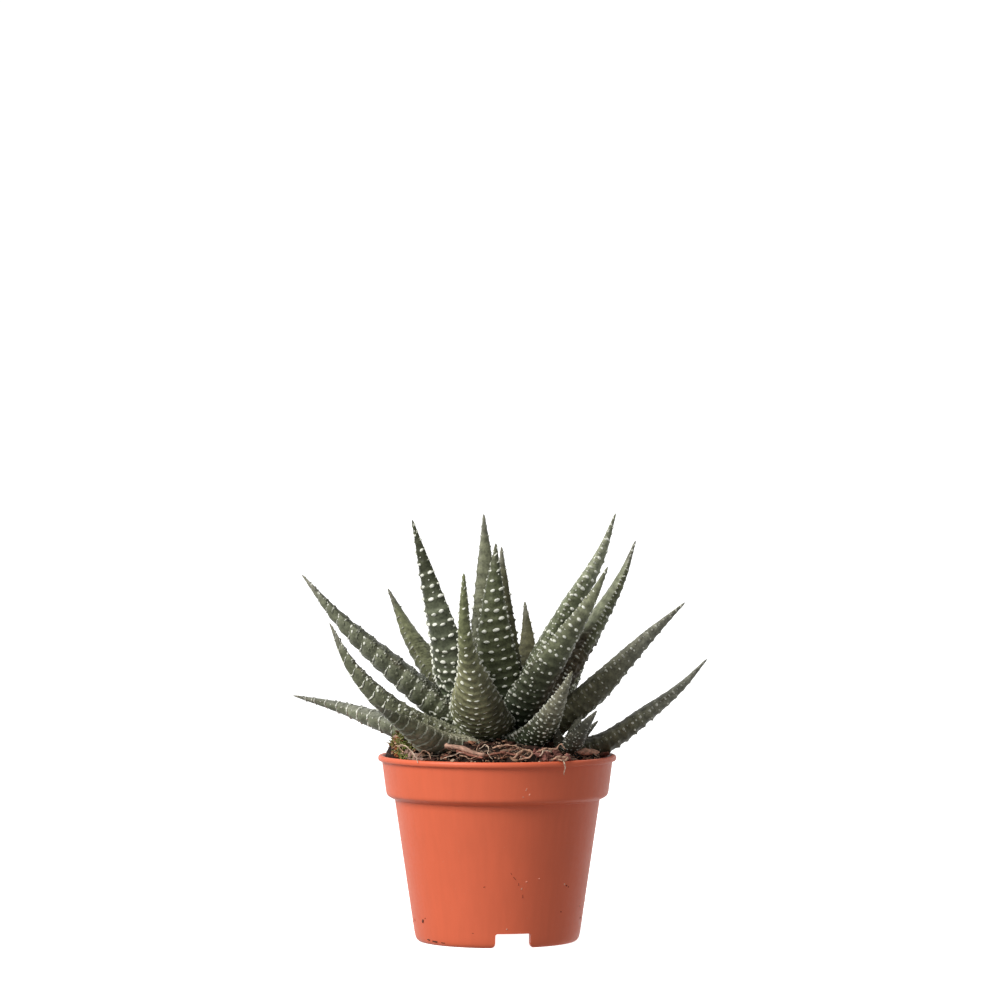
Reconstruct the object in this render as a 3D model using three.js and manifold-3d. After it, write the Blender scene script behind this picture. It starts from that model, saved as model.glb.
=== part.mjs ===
// A haworthia in a small nursery pot: pot, soil with bark and twigs, a short stem, a rosette of thick
// pointed leaves covered in rows of raised tubercles, and a small offset growing beside it.
// Millimetres, +Z up. The origin is the centre of the pot's foot, on the surface that it stands on.
// +X is to the right and +Y to the back, seen from the front.
import * as THREE from "three";
import { mergeVertices } from "three/addons/utils/BufferGeometryUtils.js";
import Module from "manifold-3d";

const wasm = await Module();
wasm.setup();

// ---------------------------------------------------------------- driving dimensions

// Pot: outer radii and heights, from the foot up.
const WALL = 0.9;
const POT_HEIGHT = 66;
const LIP_RADIUS = 42.5;
const LIP_HEIGHT = 1.9;
const BAND_TOP_RADIUS = 41;
const BAND_BOTTOM_RADIUS = 39.5;
const BAND_BOTTOM_Z = 52.4;
const STEP_Z = 50.4;
const BODY_TOP_RADIUS = 36.5;
const BODY_BOTTOM_RADIUS = 29.5;
const FOOT_RADIUS = 28;
const FOOT_ROUND_Z = 3;
const BASE_Z = 5.8; // underside of the raised base plate
const BASE_THICKNESS = 1.1;
const FOOT_WALL = 1.4;
const EDGE_ROUND = 0.4; // small roundings of the foot, the step and the lip
const STEP_ROUND = 1.9; // of the band's lower edge
const POT_SIDES = 48;

// Foot notches, which let water out from under the base.
const NOTCHES = 3;
const NOTCH_WIDTH = 12.6;
const NOTCH_HEIGHT = 5.2;
const NOTCH_ROUND = 1.6; // where its sides meet the foot
const NOTCH_DEPTH = 8; // through the foot's wall, with room to spare
const NOTCH_FIRST_DEG = -79;
const DRAIN_HOLE_RADIUS = 3;
const DRAIN_RING_RADIUS = 17;
const DRAIN_HOLES = 6;

// Soil
const CLEARANCE = 0.3; // between pieces that touch
const SOIL_RIM_Z = 64.6;
const SOIL_MOUND_Z = 69.6;
const SOIL_MOUND_RADIUS = 40;
const SOIL_HEAP = { x: -34, y: -9, size: 6, height: 8 }; // of bark and moss against the rim
const SOIL_TOP_RADII = [6.5, 11, 16, 21, 26, 31, 35.5];
const SOIL_SIDES = 32;

// Bark chips and twigs, half sunk in the soil in a ring inside the rim
const CHIPS = 26;
const CHIP_RING = [24, 34.5];
const CHIP_LENGTH = [5, 12];
const CHIP_WIDTH = [1.6, 3];
const CHIP_FLATNESS = 0.75;
const CHIP_LIFT = 0.35;
const GOLDEN_ANGLE = 137.5;

// Stems: where each stands, its radius and its bottom and top
const MAIN_STEM = { x: 2, y: 0, radius: 5, foot: 43, top: 80 };
const OFFSET_STEM = { x: 24.5, y: -19, radius: 2.2, foot: 56, top: 71.5 };

// Leaves
const ROW_PITCH = 5.3; // between rows of tubercles
const OFFSET_ROW_PITCH = 2.8;
const TUBERCLE = 0.75;
const INNER_TUBERCLE = 0.35;
const TIP_HALF_WIDTH = 0.35;
const FULL_TUBERCLE_HALF_WIDTH = 3.5; // nearer the tip the tubercles are lower
const TIP_ROW_SHARE = 0.35; // how near the last row comes to the tip, in row pitches
const CARVE_GAP = 1.1; // room around a leaf, past its tubercles

// ---------------------------------------------------------------- solids and meshes

// A closed geometry as a solid that can be joined and cut.
function solidOf(geometry) {
  const plain = geometry.clone();
  plain.deleteAttribute("normal");
  plain.deleteAttribute("uv");
  const merged = mergeVertices(plain, 1e-4);
  return new wasm.Manifold(
    new wasm.Mesh({
      numProp: 3,
      vertProperties: new Float32Array(merged.attributes.position.array),
      triVerts: new Uint32Array(merged.index.array),
    }),
  );
}

function geometryOf(solid) {
  const mesh = solid.getMesh();
  const positions = new Float32Array(mesh.numVert * 3);
  for (let i = 0; i < mesh.numVert; i++) {
    positions.set(mesh.vertProperties.subarray(i * mesh.numProp, i * mesh.numProp + 3), i * 3);
  }
  const geometry = new THREE.BufferGeometry();
  geometry.setAttribute("position", new THREE.BufferAttribute(positions, 3));
  geometry.setIndex(new THREE.BufferAttribute(new Uint32Array(mesh.triVerts), 1));
  geometry.computeVertexNormals();
  return geometry;
}

// The largest of a solid's separate bodies: scraps that a cut leaves loose are dropped.
function largestBody(solid) {
  return solid.decompose().reduce((a, b) => (b.volume() > a.volume() ? b : a));
}

// A solid turned about Z from a profile of [radius, z] points that starts and ends on the axis.
function turned(profile, sides) {
  const points = profile.map(([r, z]) => new THREE.Vector2(r, z));
  return new THREE.LatheGeometry(points, sides).rotateX(Math.PI / 2);
}

function meshOf(name, solid, material) {
  const mesh = new THREE.Mesh(geometryOf(solid), material);
  mesh.name = name;
  return mesh;
}

// The same numbers on every run.
function seeded(seed) {
  let state = seed;
  return () => {
    state = (state * 16807) % 2147483647;
    return state / 2147483647;
  };
}

// ---------------------------------------------------------------- pot

// Outer radius of the wall between the foot and the step.
function bodyRadius(z) {
  const share = (z - FOOT_ROUND_Z) / (STEP_Z - FOOT_ROUND_Z);
  return BODY_BOTTOM_RADIUS + share * (BODY_TOP_RADIUS - BODY_BOTTOM_RADIUS);
}

const SOIL_FLOOR_Z = BASE_Z + BASE_THICKNESS;

// The outline of a foot notch, its lower corners rounded outwards and its upper ones inwards.
function notchShape() {
  const half = NOTCH_WIDTH / 2;
  const r = NOTCH_ROUND;
  const shape = new THREE.Shape();
  shape.moveTo(-half - r, -1);
  shape.lineTo(half + r, -1);
  shape.lineTo(half + r, 0);
  shape.absarc(half + r, r, r, -Math.PI / 2, -Math.PI, true);
  shape.lineTo(half, NOTCH_HEIGHT - r / 2);
  shape.absarc(half - r / 2, NOTCH_HEIGHT - r / 2, r / 2, 0, Math.PI / 2, false);
  shape.absarc(-half + r / 2, NOTCH_HEIGHT - r / 2, r / 2, Math.PI / 2, Math.PI, false);
  shape.lineTo(-half, r);
  shape.absarc(-half - r, r, r, 0, -Math.PI / 2, true);
  return shape;
}

function potSolid() {
  const outside = [
    [0, BASE_Z],
    [FOOT_RADIUS - FOOT_WALL, BASE_Z],
    [FOOT_RADIUS - FOOT_WALL, 0],
    [FOOT_RADIUS, 0],
    [BODY_BOTTOM_RADIUS - 1.5 * EDGE_ROUND, FOOT_ROUND_Z * 0.3],
    [BODY_BOTTOM_RADIUS, FOOT_ROUND_Z],
    [BODY_TOP_RADIUS, STEP_Z],
    [BAND_BOTTOM_RADIUS - STEP_ROUND, STEP_Z + EDGE_ROUND],
    [BAND_BOTTOM_RADIUS - STEP_ROUND * 0.3, STEP_Z + 3 * EDGE_ROUND],
    [BAND_BOTTOM_RADIUS, BAND_BOTTOM_Z],
    [BAND_TOP_RADIUS, POT_HEIGHT - LIP_HEIGHT - EDGE_ROUND],
    [LIP_RADIUS - EDGE_ROUND, POT_HEIGHT - LIP_HEIGHT],
    [LIP_RADIUS, POT_HEIGHT - LIP_HEIGHT * 0.4],
    [LIP_RADIUS - EDGE_ROUND, POT_HEIGHT],
  ];
  const inside = [
    [BAND_TOP_RADIUS - WALL, POT_HEIGHT - EDGE_ROUND],
    [BAND_BOTTOM_RADIUS - WALL, BAND_BOTTOM_Z + WALL],
    [BODY_TOP_RADIUS - WALL, STEP_Z + WALL],
    [bodyRadius(SOIL_FLOOR_Z) - WALL, SOIL_FLOOR_Z],
    [0, SOIL_FLOOR_Z],
  ];
  let pot = solidOf(turned([...outside, ...inside], POT_SIDES));
  for (let i = 0; i < NOTCHES; i++) {
    const angle = THREE.MathUtils.degToRad(NOTCH_FIRST_DEG + (i * 360) / NOTCHES);
    const notch = new THREE.ExtrudeGeometry(notchShape(), {
      depth: NOTCH_DEPTH,
      bevelEnabled: false,
      curveSegments: 3,
    })
      .rotateX(Math.PI / 2)
      .rotateZ(Math.PI / 2)
      .translate(FOOT_RADIUS - NOTCH_DEPTH / 2, 0, 0)
      .rotateZ(angle);
    pot = pot.subtract(solidOf(notch));
  }
  for (let i = 0; i < DRAIN_HOLES; i++) {
    const angle = ((i + 0.5) * 2 * Math.PI) / DRAIN_HOLES;
    const hole = new THREE.CylinderGeometry(DRAIN_HOLE_RADIUS, DRAIN_HOLE_RADIUS, 4 * BASE_THICKNESS, 12)
      .rotateX(Math.PI / 2)
      .translate(DRAIN_RING_RADIUS * Math.cos(angle), DRAIN_RING_RADIUS * Math.sin(angle), BASE_Z);
    pot = pot.subtract(solidOf(hole));
  }
  return pot;
}

// ---------------------------------------------------------------- stems

function stemSolid({ x, y, radius, foot, top }, sides) {
  const profile = [
    [0, foot],
    [radius * 0.45, foot],
    [radius, foot + radius * 2],
    [radius, top - radius],
    [radius * 0.55, top],
    [0, top],
  ];
  return solidOf(turned(profile, sides).translate(x, y, 0));
}

// ---------------------------------------------------------------- leaves

// Each leaf, in the order in which its neighbours are cut clear of it: the ones in front first.
// base: height at which it leaves the stem. width: its widest.
// waist: how much slimmer it is above its middle than the others are, as a share.
// path: points along its middle, the last one its tip.
const LEAVES = {
  leaf_front: {
    base: 71,
    width: 23,
    waist: 0.45,
    path: [[-6, -20, 80], [-8.5, -38, 95], [-11.2, -50, 110], [-11.5, -55, 132]],
  },
  leaf_front_short: {
    base: 70,
    width: 17,
    path: [[13.5, -20, 74], [21, -37, 86.5], [26, -45, 98]],
  },
  leaf_front_left_low: {
    base: 70,
    width: 22,
    path: [[-20, -16, 70.5], [-32, -33, 78.5], [-42.5, -45, 86]],
  },
  leaf_front_right: {
    base: 73,
    width: 21,
    path: [[11, -14, 87], [24, -27, 108], [32.8, -31, 122], [38.6, -32, 133.7]],
  },
  leaf_front_left: {
    base: 74,
    width: 21,
    path: [[-12.5, -11, 86], [-18.3, -24, 107], [-24.5, -29, 130], [-29.7, -30, 150]],
  },
  leaf_centre: {
    base: 77,
    width: 19,
    path: [[0, -5, 90], [-1.4, -9, 114], [-0.5, -10, 141.5]],
  },
  leaf_left: {
    base: 72,
    width: 22,
    path: [[-17.5, -7, 81.2], [-38.5, -13, 99], [-55.8, -15, 115], [-69, -14, 130.5]],
  },
  leaf_left_low: {
    base: 70.5,
    width: 20,
    path: [[-19, -10, 73.5], [-36, -21, 82.7], [-51, -30, 99], [-58.6, -30, 114]],
  },
  leaf_far_left_low: {
    base: 69.5,
    width: 18,
    path: [[-18, 3, 69.5], [-38, 11, 75.8], [-56, 22, 81.4], [-74, 28, 85.6]],
  },
  leaf_right_tall: {
    base: 76,
    width: 21,
    path: [[13, -2, 93], [25.4, -4, 117], [36.5, -5, 137], [42, -5, 152]],
  },
  leaf_right_back: {
    base: 74,
    width: 20,
    path: [[18, 5, 87], [32.6, 11, 108], [44.3, 14, 128], [49.7, 15, 142]],
  },
  leaf_right: {
    base: 72,
    width: 21,
    path: [[20, -4, 77], [37, -9, 92], [54, -12, 109.2], [66.3, -12, 120.6]],
  },
  leaf_right_low: {
    base: 69,
    width: 18,
    path: [[22, 1, 67], [36, 2, 69], [54.8, 4, 81.5], [66, 4, 90.5], [74.8, 4, 99.9]],
  },
  leaf_centre_right: {
    base: 79,
    width: 13,
    path: [[2.8, 2, 102], [2.1, 2, 120], [1.5, 2, 140]],
  },
  leaf_back_tall: {
    base: 78,
    width: 18,
    path: [[-3, 8, 98], [-4.1, 14, 124], [-4.9, 18, 151.5]],
  },
  leaf_back_left: {
    base: 75,
    width: 20,
    path: [[-15.5, 11, 87], [-30, 22, 105], [-39.7, 28, 124.5]],
  },
  leaf_back_short: {
    base: 75,
    width: 14,
    path: [[9, 17, 90], [11, 30, 104], [10, 36, 119.5]],
  },
  leaf_back_steep: {
    base: 76,
    width: 18,
    path: [[-3, 16, 90], [-5, 32, 108], [-4.5, 42, 127]],
  },
  leaf_back_left_steep: {
    base: 74,
    width: 17,
    path: [[-9, 15, 86], [-18, 29, 99], [-21, 35, 112.5]],
  },
  leaf_back: {
    base: 72,
    width: 21,
    path: [[2, 18, 80], [2, 41, 95], [2, 55.5, 117]],
  },
  leaf_back_right: {
    base: 72,
    width: 20,
    path: [[14, 15, 80], [26, 37, 91], [34, 52, 106]],
  },
  leaf_back_far_right: {
    base: 71,
    width: 19,
    path: [[19, 11, 76], [38, 24, 88], [52, 35, 102]],
  },
  leaf_back_far_left: {
    base: 71,
    width: 20,
    path: [[-9, 16, 77], [-22, 37, 88], [-31, 52, 102]],
  },
  leaf_back_left_low: {
    base: 70,
    width: 16,
    path: [[-14, 12, 71], [-29, 27, 74.5], [-42, 38, 82]],
  },
  leaf_back_low: {
    base: 69.5,
    width: 17,
    path: [[4, 19, 69.5], [8, 38, 73], [12, 54, 84]],
  },
  leaf_back_right_low: {
    base: 69,
    width: 15,
    path: [[18, 7, 68.5], [34, 14, 69], [53, 22, 80]],
  },
  leaf_heart: {
    base: 79,
    width: 9,
    path: [[3, 6, 98], [3, 8, 118]],
  },
};

const OFFSET_LEAVES = {
  offset_leaf_front: {
    base: 68.5,
    width: 9.5,
    path: [[28.5, -26, 74.5], [34.8, -31, 83.5]],
  },
  offset_leaf_right: {
    base: 68.5,
    width: 6.5,
    path: [[29.5, -21, 73], [35.5, -22, 79.5]],
  },
  offset_leaf_back: {
    base: 68.5,
    width: 7,
    path: [[27, -13, 74], [30, -10, 82]],
  },
  offset_leaf_left: {
    base: 68.5,
    width: 6,
    path: [[21, -23, 74], [19.5, -25, 80]],
  },
};

// The curve up the middle of a leaf, from the stem's surface to the tip.
function leafSpine({ base, path }, stem) {
  const points = path.map((p) => new THREE.Vector3(...p));
  const side = new THREE.Vector2(points[0].x - stem.x, points[0].y - stem.y).setLength(
    stem.radius + CLEARANCE,
  );
  const start = new THREE.Vector3(stem.x + side.x, stem.y + side.y, base);
  return new THREE.CatmullRomCurve3([start, ...points], false, "centripetal");
}

// Share of the leaf's full width at a share s of its length: a narrower neck, then a long taper,
// which a waist draws in above the middle.
function leafWidth(s, waist = 0) {
  const { smoothstep } = THREE.MathUtils;
  const neck = 0.55 + 0.45 * smoothstep(s, 0, 0.18);
  const drawnIn = smoothstep(s, 0.25, 0.7) * (1 - 0.5 * smoothstep(s, 0.75, 0.95));
  return neck * (1 - waist * drawnIn) * (1 - s ** 1.6) ** 1.15;
}

// Share of the half width by which a section rises from edge to keel: the tip is rounder.
function leafDepth(s) {
  return 0.62 + 0.4 * s;
}

// The corners of a section, the rounded outer face first and then the flatter inner one:
// [across, out, tubercle height], the first two in half widths and the last in mm.
const OUTER_CORNERS = 7;
const SECTION = [];
for (let k = 0; k < OUTER_CORNERS; k++) {
  const angle = (k * Math.PI) / (OUTER_CORNERS - 1);
  SECTION.push([Math.cos(angle), Math.sin(angle) - 0.3, TUBERCLE]);
}
for (const across of [-0.55, 0, 0.55]) {
  SECTION.push([across, -0.75 + 0.2 * Math.abs(across), INNER_TUBERCLE]);
}

// A closed leaf: rings of corners along the spine, every other corner raised to a tubercle.
// swell makes it larger all round and plain, as the room that its neighbours keep clear of.
function leafGeometry(leaf, stem, pitch, swell) {
  const curve = leafSpine(leaf, stem);
  const rows = Math.round(curve.getLength() / pitch);
  const sides = SECTION.length;
  const end = curve.getPoint(1);
  const level = new THREE.Vector3(stem.y - end.y, end.x - stem.x, 0).normalize();
  const positions = [];
  for (let i = 0; i < rows; i++) {
    const s = i / (rows - TIP_ROW_SHARE);
    const centre = curve.getPointAt(s);
    const along = curve.getTangentAt(s);
    const across = level.clone().addScaledVector(along, -level.dot(along)).normalize();
    const out = across.clone().cross(along);
    const half = TIP_HALF_WIDTH + (leaf.width / 2 - TIP_HALF_WIDTH) * leafWidth(s, leaf.waist);
    SECTION.forEach(([a, o, height], k) => {
      const raised = swell === 0 && i > 1 && (i + k) % 2 === 0;
      const lift = raised ? height * Math.min(1, half / FULL_TUBERCLE_HALF_WIDTH) : 0;
      const away = new THREE.Vector2(a * leafDepth(s), o).setLength(lift + swell);
      const corner = centre
        .clone()
        .addScaledVector(across, a * half + away.x)
        .addScaledVector(out, o * half * leafDepth(s) + away.y);
      positions.push(...corner);
    });
  }
  positions.push(...curve.getPointAt(0).addScaledVector(curve.getTangentAt(0), -swell));
  positions.push(...end.addScaledVector(curve.getTangentAt(1), 2 * swell));
  const faces = [];
  const at = (i, k) => i * sides + (k % sides);
  const foot = rows * sides;
  const tip = foot + 1;
  for (let k = 0; k < sides; k++) {
    faces.push(foot, at(0, k), at(0, k + 1));
    faces.push(tip, at(rows - 1, k + 1), at(rows - 1, k));
    for (let i = 0; i + 1 < rows; i++) {
      const [p, q, r, t] = [at(i, k), at(i, k + 1), at(i + 1, k + 1), at(i + 1, k)];
      const split = (i + k) % 2 === 0 ? [p, t, q, q, t, r] : [p, r, q, p, t, r];
      faces.push(...split);
    }
  }
  const geometry = new THREE.BufferGeometry();
  geometry.setAttribute("position", new THREE.Float32BufferAttribute(positions, 3));
  geometry.setIndex(faces);
  return geometry;
}

// A plant's leaves as solids, each cut clear of the stem and of the leaves before it.
function leafSolids(leaves, stem, pitch, blocked) {
  const made = {};
  const room = [...blocked];
  for (const [name, leaf] of Object.entries(leaves)) {
    let solid = solidOf(leafGeometry(leaf, stem, pitch, 0));
    for (const space of room) {
      if (solid.intersect(space).volume() > 0) {
        solid = solid.subtract(space);
      }
    }
    made[name] = largestBody(solid);
    room.push(solidOf(leafGeometry(leaf, stem, pitch, CARVE_GAP)));
  }
  return { made, room };
}

// ---------------------------------------------------------------- soil

// Height of the soil's bumpy top.
function soilTop(x, y) {
  const radius = Math.hypot(x, y);
  const mound = 1 - THREE.MathUtils.smoothstep(radius, SOIL_MOUND_RADIUS * 0.45, SOIL_MOUND_RADIUS);
  const bumps = 0.5 * Math.sin(0.55 * x + 1) * Math.cos(0.6 * y) + 0.35 * Math.sin(0.9 * y + 0.4 * x);
  const fromHeap = Math.hypot(x - SOIL_HEAP.x, y - SOIL_HEAP.y) / SOIL_HEAP.size;
  const heap = SOIL_HEAP.height * Math.exp(-(fromHeap ** 2));
  return SOIL_RIM_Z + (SOIL_MOUND_Z - SOIL_RIM_Z) * mound + bumps + heap;
}

function soilBody() {
  const wall = WALL + CLEARANCE;
  const share = (SOIL_RIM_Z - BAND_BOTTOM_Z) / (POT_HEIGHT - LIP_HEIGHT - BAND_BOTTOM_Z);
  const rim = BAND_BOTTOM_RADIUS + share * (BAND_TOP_RADIUS - BAND_BOTTOM_RADIUS) - wall;
  const topRings = [...SOIL_TOP_RADII, rim].reverse().map((r) => [r, SOIL_RIM_Z]);
  const profile = [
    [0, SOIL_FLOOR_Z + CLEARANCE],
    [bodyRadius(SOIL_FLOOR_Z) - wall, SOIL_FLOOR_Z + CLEARANCE],
    [BODY_TOP_RADIUS - wall, STEP_Z + WALL + CLEARANCE],
    [BAND_BOTTOM_RADIUS - wall, BAND_BOTTOM_Z + WALL + CLEARANCE],
    ...topRings,
    [0, SOIL_RIM_Z],
  ];
  const geometry = turned(profile, SOIL_SIDES);
  const position = geometry.attributes.position;
  for (let i = 0; i < position.count; i++) {
    if (position.getZ(i) >= SOIL_RIM_Z - 1e-3) {
      position.setZ(i, soilTop(position.getX(i), position.getY(i)));
    }
  }
  return solidOf(geometry);
}

// Bark chips and twigs lying roughly along the rim, each a little tilted.
function soilPieces() {
  const draw = seeded(41);
  const between = ([low, high]) => low + (high - low) * draw();
  const pieces = [];
  for (let i = 0; i < CHIPS; i++) {
    const azimuth = THREE.MathUtils.degToRad(i * GOLDEN_ANGLE);
    const radius = between(CHIP_RING);
    const x = radius * Math.cos(azimuth);
    const y = radius * Math.sin(azimuth);
    const length = between(CHIP_LENGTH);
    const width = between(CHIP_WIDTH);
    const yaw = azimuth + Math.PI / 2 + between([-0.7, 0.7]);
    const tilt = between([-0.25, 0.25]);
    const chip = new THREE.CylinderGeometry(width * 0.5, width * 0.6, length, 5)
      .rotateZ(Math.PI / 2)
      .scale(1, 1, CHIP_FLATNESS)
      .rotateY(tilt)
      .rotateZ(yaw)
      .translate(x, y, soilTop(x, y) + CHIP_LIFT);
    pieces.push(chip);
  }
  return pieces;
}

// The soil with its chips, the plain holes that the stems stand in, and room for the lowest leaves.
function soilSolid(room) {
  let soil = soilBody();
  for (const piece of soilPieces()) {
    soil = soil.add(solidOf(piece));
  }
  for (const stem of [MAIN_STEM, OFFSET_STEM]) {
    const radius = stem.radius + CLEARANCE;
    const depth = stem.top - stem.foot;
    const hole = new THREE.CylinderGeometry(radius, radius, depth, 16)
      .rotateX(Math.PI / 2)
      .translate(stem.x, stem.y, stem.foot - CLEARANCE + depth / 2);
    soil = soil.subtract(solidOf(hole));
  }
  for (const space of room) {
    if (soil.intersect(space).volume() > 0) {
      soil = soil.subtract(space);
    }
  }
  return largestBody(soil);
}

// ---------------------------------------------------------------- the object

const finish = (color, roughness) => new THREE.MeshStandardMaterial({ color, roughness, metalness: 0 });
const terracottaPlastic = finish(0xc9603f, 0.42);
const soilBrown = finish(0x4a2d20, 0.95);
const leafGreen = finish(0x3f4a34, 0.6);
const stemBrown = finish(0x6b5a3c, 0.85);

const plant = new THREE.Group();
const pot = potSolid();
const stem = stemSolid(MAIN_STEM, 14);
const offsetStem = stemSolid(OFFSET_STEM, 10);
const stemRoom = [MAIN_STEM, OFFSET_STEM].map((s) =>
  stemSolid({ ...s, radius: s.radius + CLEARANCE, top: s.top + CLEARANCE, foot: s.foot - CLEARANCE }, 14),
);
const offset = leafSolids(OFFSET_LEAVES, OFFSET_STEM, OFFSET_ROW_PITCH, stemRoom);
const rosette = leafSolids(LEAVES, MAIN_STEM, ROW_PITCH, offset.room);

plant.add(meshOf("pot", pot, terracottaPlastic));
plant.add(meshOf("soil", soilSolid(rosette.room.slice(stemRoom.length)), soilBrown));
plant.add(meshOf("stem", stem, stemBrown));
plant.add(meshOf("offset_stem", offsetStem, stemBrown));
for (const [name, solid] of Object.entries({ ...rosette.made, ...offset.made })) {
  plant.add(meshOf(name, solid, leafGreen));
}

export default plant;
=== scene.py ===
"""A haworthia in a small nursery pot: fine leaves with rows of white tubercles, soil with bark, twigs,
roots and moss, and a moulded terracotta plastic pot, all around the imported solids.

Metres, +Z up. The origin is the centre of the pot's foot. +X is to the right and +Y to the back.
"""

import math
import random

import bmesh
import bpy
import numpy as np
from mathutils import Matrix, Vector


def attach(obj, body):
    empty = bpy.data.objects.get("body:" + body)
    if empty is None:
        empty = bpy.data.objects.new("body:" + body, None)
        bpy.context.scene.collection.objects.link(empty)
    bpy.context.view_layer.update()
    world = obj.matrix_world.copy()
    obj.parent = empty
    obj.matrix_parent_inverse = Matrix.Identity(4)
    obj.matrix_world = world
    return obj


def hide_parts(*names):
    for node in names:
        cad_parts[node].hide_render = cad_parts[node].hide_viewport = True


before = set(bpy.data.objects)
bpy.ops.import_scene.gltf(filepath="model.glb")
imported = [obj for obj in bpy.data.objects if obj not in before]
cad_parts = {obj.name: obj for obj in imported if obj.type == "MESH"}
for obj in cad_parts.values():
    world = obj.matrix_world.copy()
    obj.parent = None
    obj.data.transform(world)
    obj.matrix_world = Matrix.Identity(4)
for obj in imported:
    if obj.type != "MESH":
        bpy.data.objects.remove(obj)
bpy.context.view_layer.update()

MM = 0.001
BODY = "root"

# ---------------------------------------------------------------- driving dimensions

# Pot, as in the part's source
WALL = 0.9 * MM
POT_HEIGHT = 66 * MM
LIP_RADIUS = 42.5 * MM
LIP_HEIGHT = 1.9 * MM
BAND_TOP_RADIUS = 41 * MM
BAND_BOTTOM_RADIUS = 39.5 * MM
BAND_BOTTOM_Z = 52.4 * MM
STEP_Z = 50.4 * MM
BODY_TOP_RADIUS = 36.5 * MM
BODY_BOTTOM_RADIUS = 29.5 * MM
FOOT_RADIUS = 28 * MM
FOOT_WALL = 1.4 * MM
FOOT_ROUND_Z = 3 * MM
BASE_Z = 5.8 * MM
SOIL_FLOOR_Z = 6.9 * MM
POT_SIDES = 168
POT_SHARP_DEG = 38
NOTCHES = 3
NOTCH_WIDTH = 12.6 * MM
NOTCH_HEIGHT = 5.2 * MM
NOTCH_ROUND = 1.6 * MM
NOTCH_DEPTH = 8 * MM
NOTCH_FIRST_DEG = -79
DRAIN_HOLES = 6
DRAIN_HOLE_RADIUS = 3 * MM
DRAIN_RING_RADIUS = 17 * MM
DRAIN_CUT = 3 * MM  # how far a hole is cut, up and down from the base
DRAIN_SIDES = 36

# Soil, as in the part's source
CLEARANCE = 0.3 * MM
SOIL_RIM_Z = 64.6 * MM
SOIL_MOUND_Z = 69.6 * MM
SOIL_MOUND_RADIUS = 40 * MM
SOIL_HEAP = (-34 * MM, -9 * MM)
SOIL_HEAP_SIZE = 6 * MM
SOIL_HEAP_HEIGHT = 8 * MM
SOIL_SIDES = 180
SOIL_RINGS = 52

# Loose pieces on the soil: how high they lie, how far out, and how far out above the lip
LITTER_RISE = 1.7 * MM
LITTER_LEVEL_RADIUS = 34 * MM
SOIL_EDGE = 38.6 * MM
LIP_EDGE = 41.5 * MM
BARK_CHIPS = 420
LARGE_CHIPS = 80
RED_CHIPS = 34
RIM_CHIP_SIZE = (8.4 * MM, 3.0 * MM, 2.0 * MM)
RIM_CHIP_AT = (31.5 * MM, -18.5 * MM, 68.2 * MM)
RIM_CHIP_ALONG = (78, 52, -4)
CRUMBS = 1300
GRIT = 46
LARGE_CHIP = (3, 7)  # least and greatest length in millimetres, as in the next ones
SMALL_CHIP = (1.0, 3.2)
RED_CHIP = (1.6, 3.2)
CRUMB = (0.25, 0.8)
GRAIN = (0.5, 1.0)
LOOSE_ROOT = (2.5, 9)
MOSS_SCRAP = (0.7, 1.7)
CHUNK_RINGS = 9
CHUNK_SIDES = 14
LOOSE_ROOTS = 300
MOSS_BLADES = 900
MOSS_SCRAPS = 70

# Stems: where each stands and its radius
MAIN_STEM = {"x": 0.002, "y": 0.0, "radius": 0.005}
OFFSET_STEM = {"x": 0.0245, "y": -0.019, "radius": 0.0022}

# Leaves and the ridges on them
TIP_HALF_WIDTH = 0.35 * MM
TIP_ROUNDING = 1.5 * MM
FULL_HALF_WIDTH = 5 * MM  # where a leaf is narrower, its marks are smaller
INNER_SWELL = 0.45  # depth of the inner face, in half widths
EDGE_DROP = 0.3  # how far the edges lie inside the middle, in half widths
LEAF_RING_STEP = 0.38 * MM
LEAF_SIDES = 64
SLIM_LEAF_SIDES = 36
SLIM_LEAF_WIDTH = 12 * MM
RIDGE_STEP = 0.4 * MM
FIRST_ROW = 2.2 * MM  # from the tip
BARE_TIP = 1.0 * MM
KNOT_SPACING = 1.35 * MM  # on a zigzag ridge
KNOT_SIZE = 0.60 * MM
LUMP_SIZE = 0.62 * MM  # of the faint lumps beyond a cross ridge
LAST_TURN = -1.5  # how far round the inner face those go

# Seeds of the random draws: of the first leaf on each stem, the step from leaf to leaf, and the others
LEAF_SEED = 100
OFFSET_LEAF_SEED = 500
LEAF_SEED_STEP = 10
BARK_SEED = 7
CRUMB_SEED = 11
ROOT_SEED = 19
TWIG_SEED = 23
MOSS_SEED = 31
MARK_SEED = 37

# Camera and light
CAMERA_AT = (0.43 * MM, -1580 * MM, 169.7 * MM)
CAMERA_AIM = (0.43 * MM, 0, 156.6 * MM)
CAMERA_LENS = 159.95  # mm on a 36 mm sensor
KEY_AZIMUTH = 50  # degrees, from the front towards the left
KEY_ELEVATION = 35
KEY_DISTANCE = 1.3
KEY_SIZE = 0.7
KEY_WATTS = 18.5
KEY_COLOUR = (1.0, 0.985, 0.95)
LIT_POINT = (0, 0, 80 * MM)

# Strengths of the white surroundings: as light, in reflections from front and back, and to the camera
AMBIENT = 0.40
MIRRORED_FRONT = 0.14
MIRRORED_BACK = 1.6
SEEN = 1.05

# ---------------------------------------------------------------- colours, linear

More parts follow.
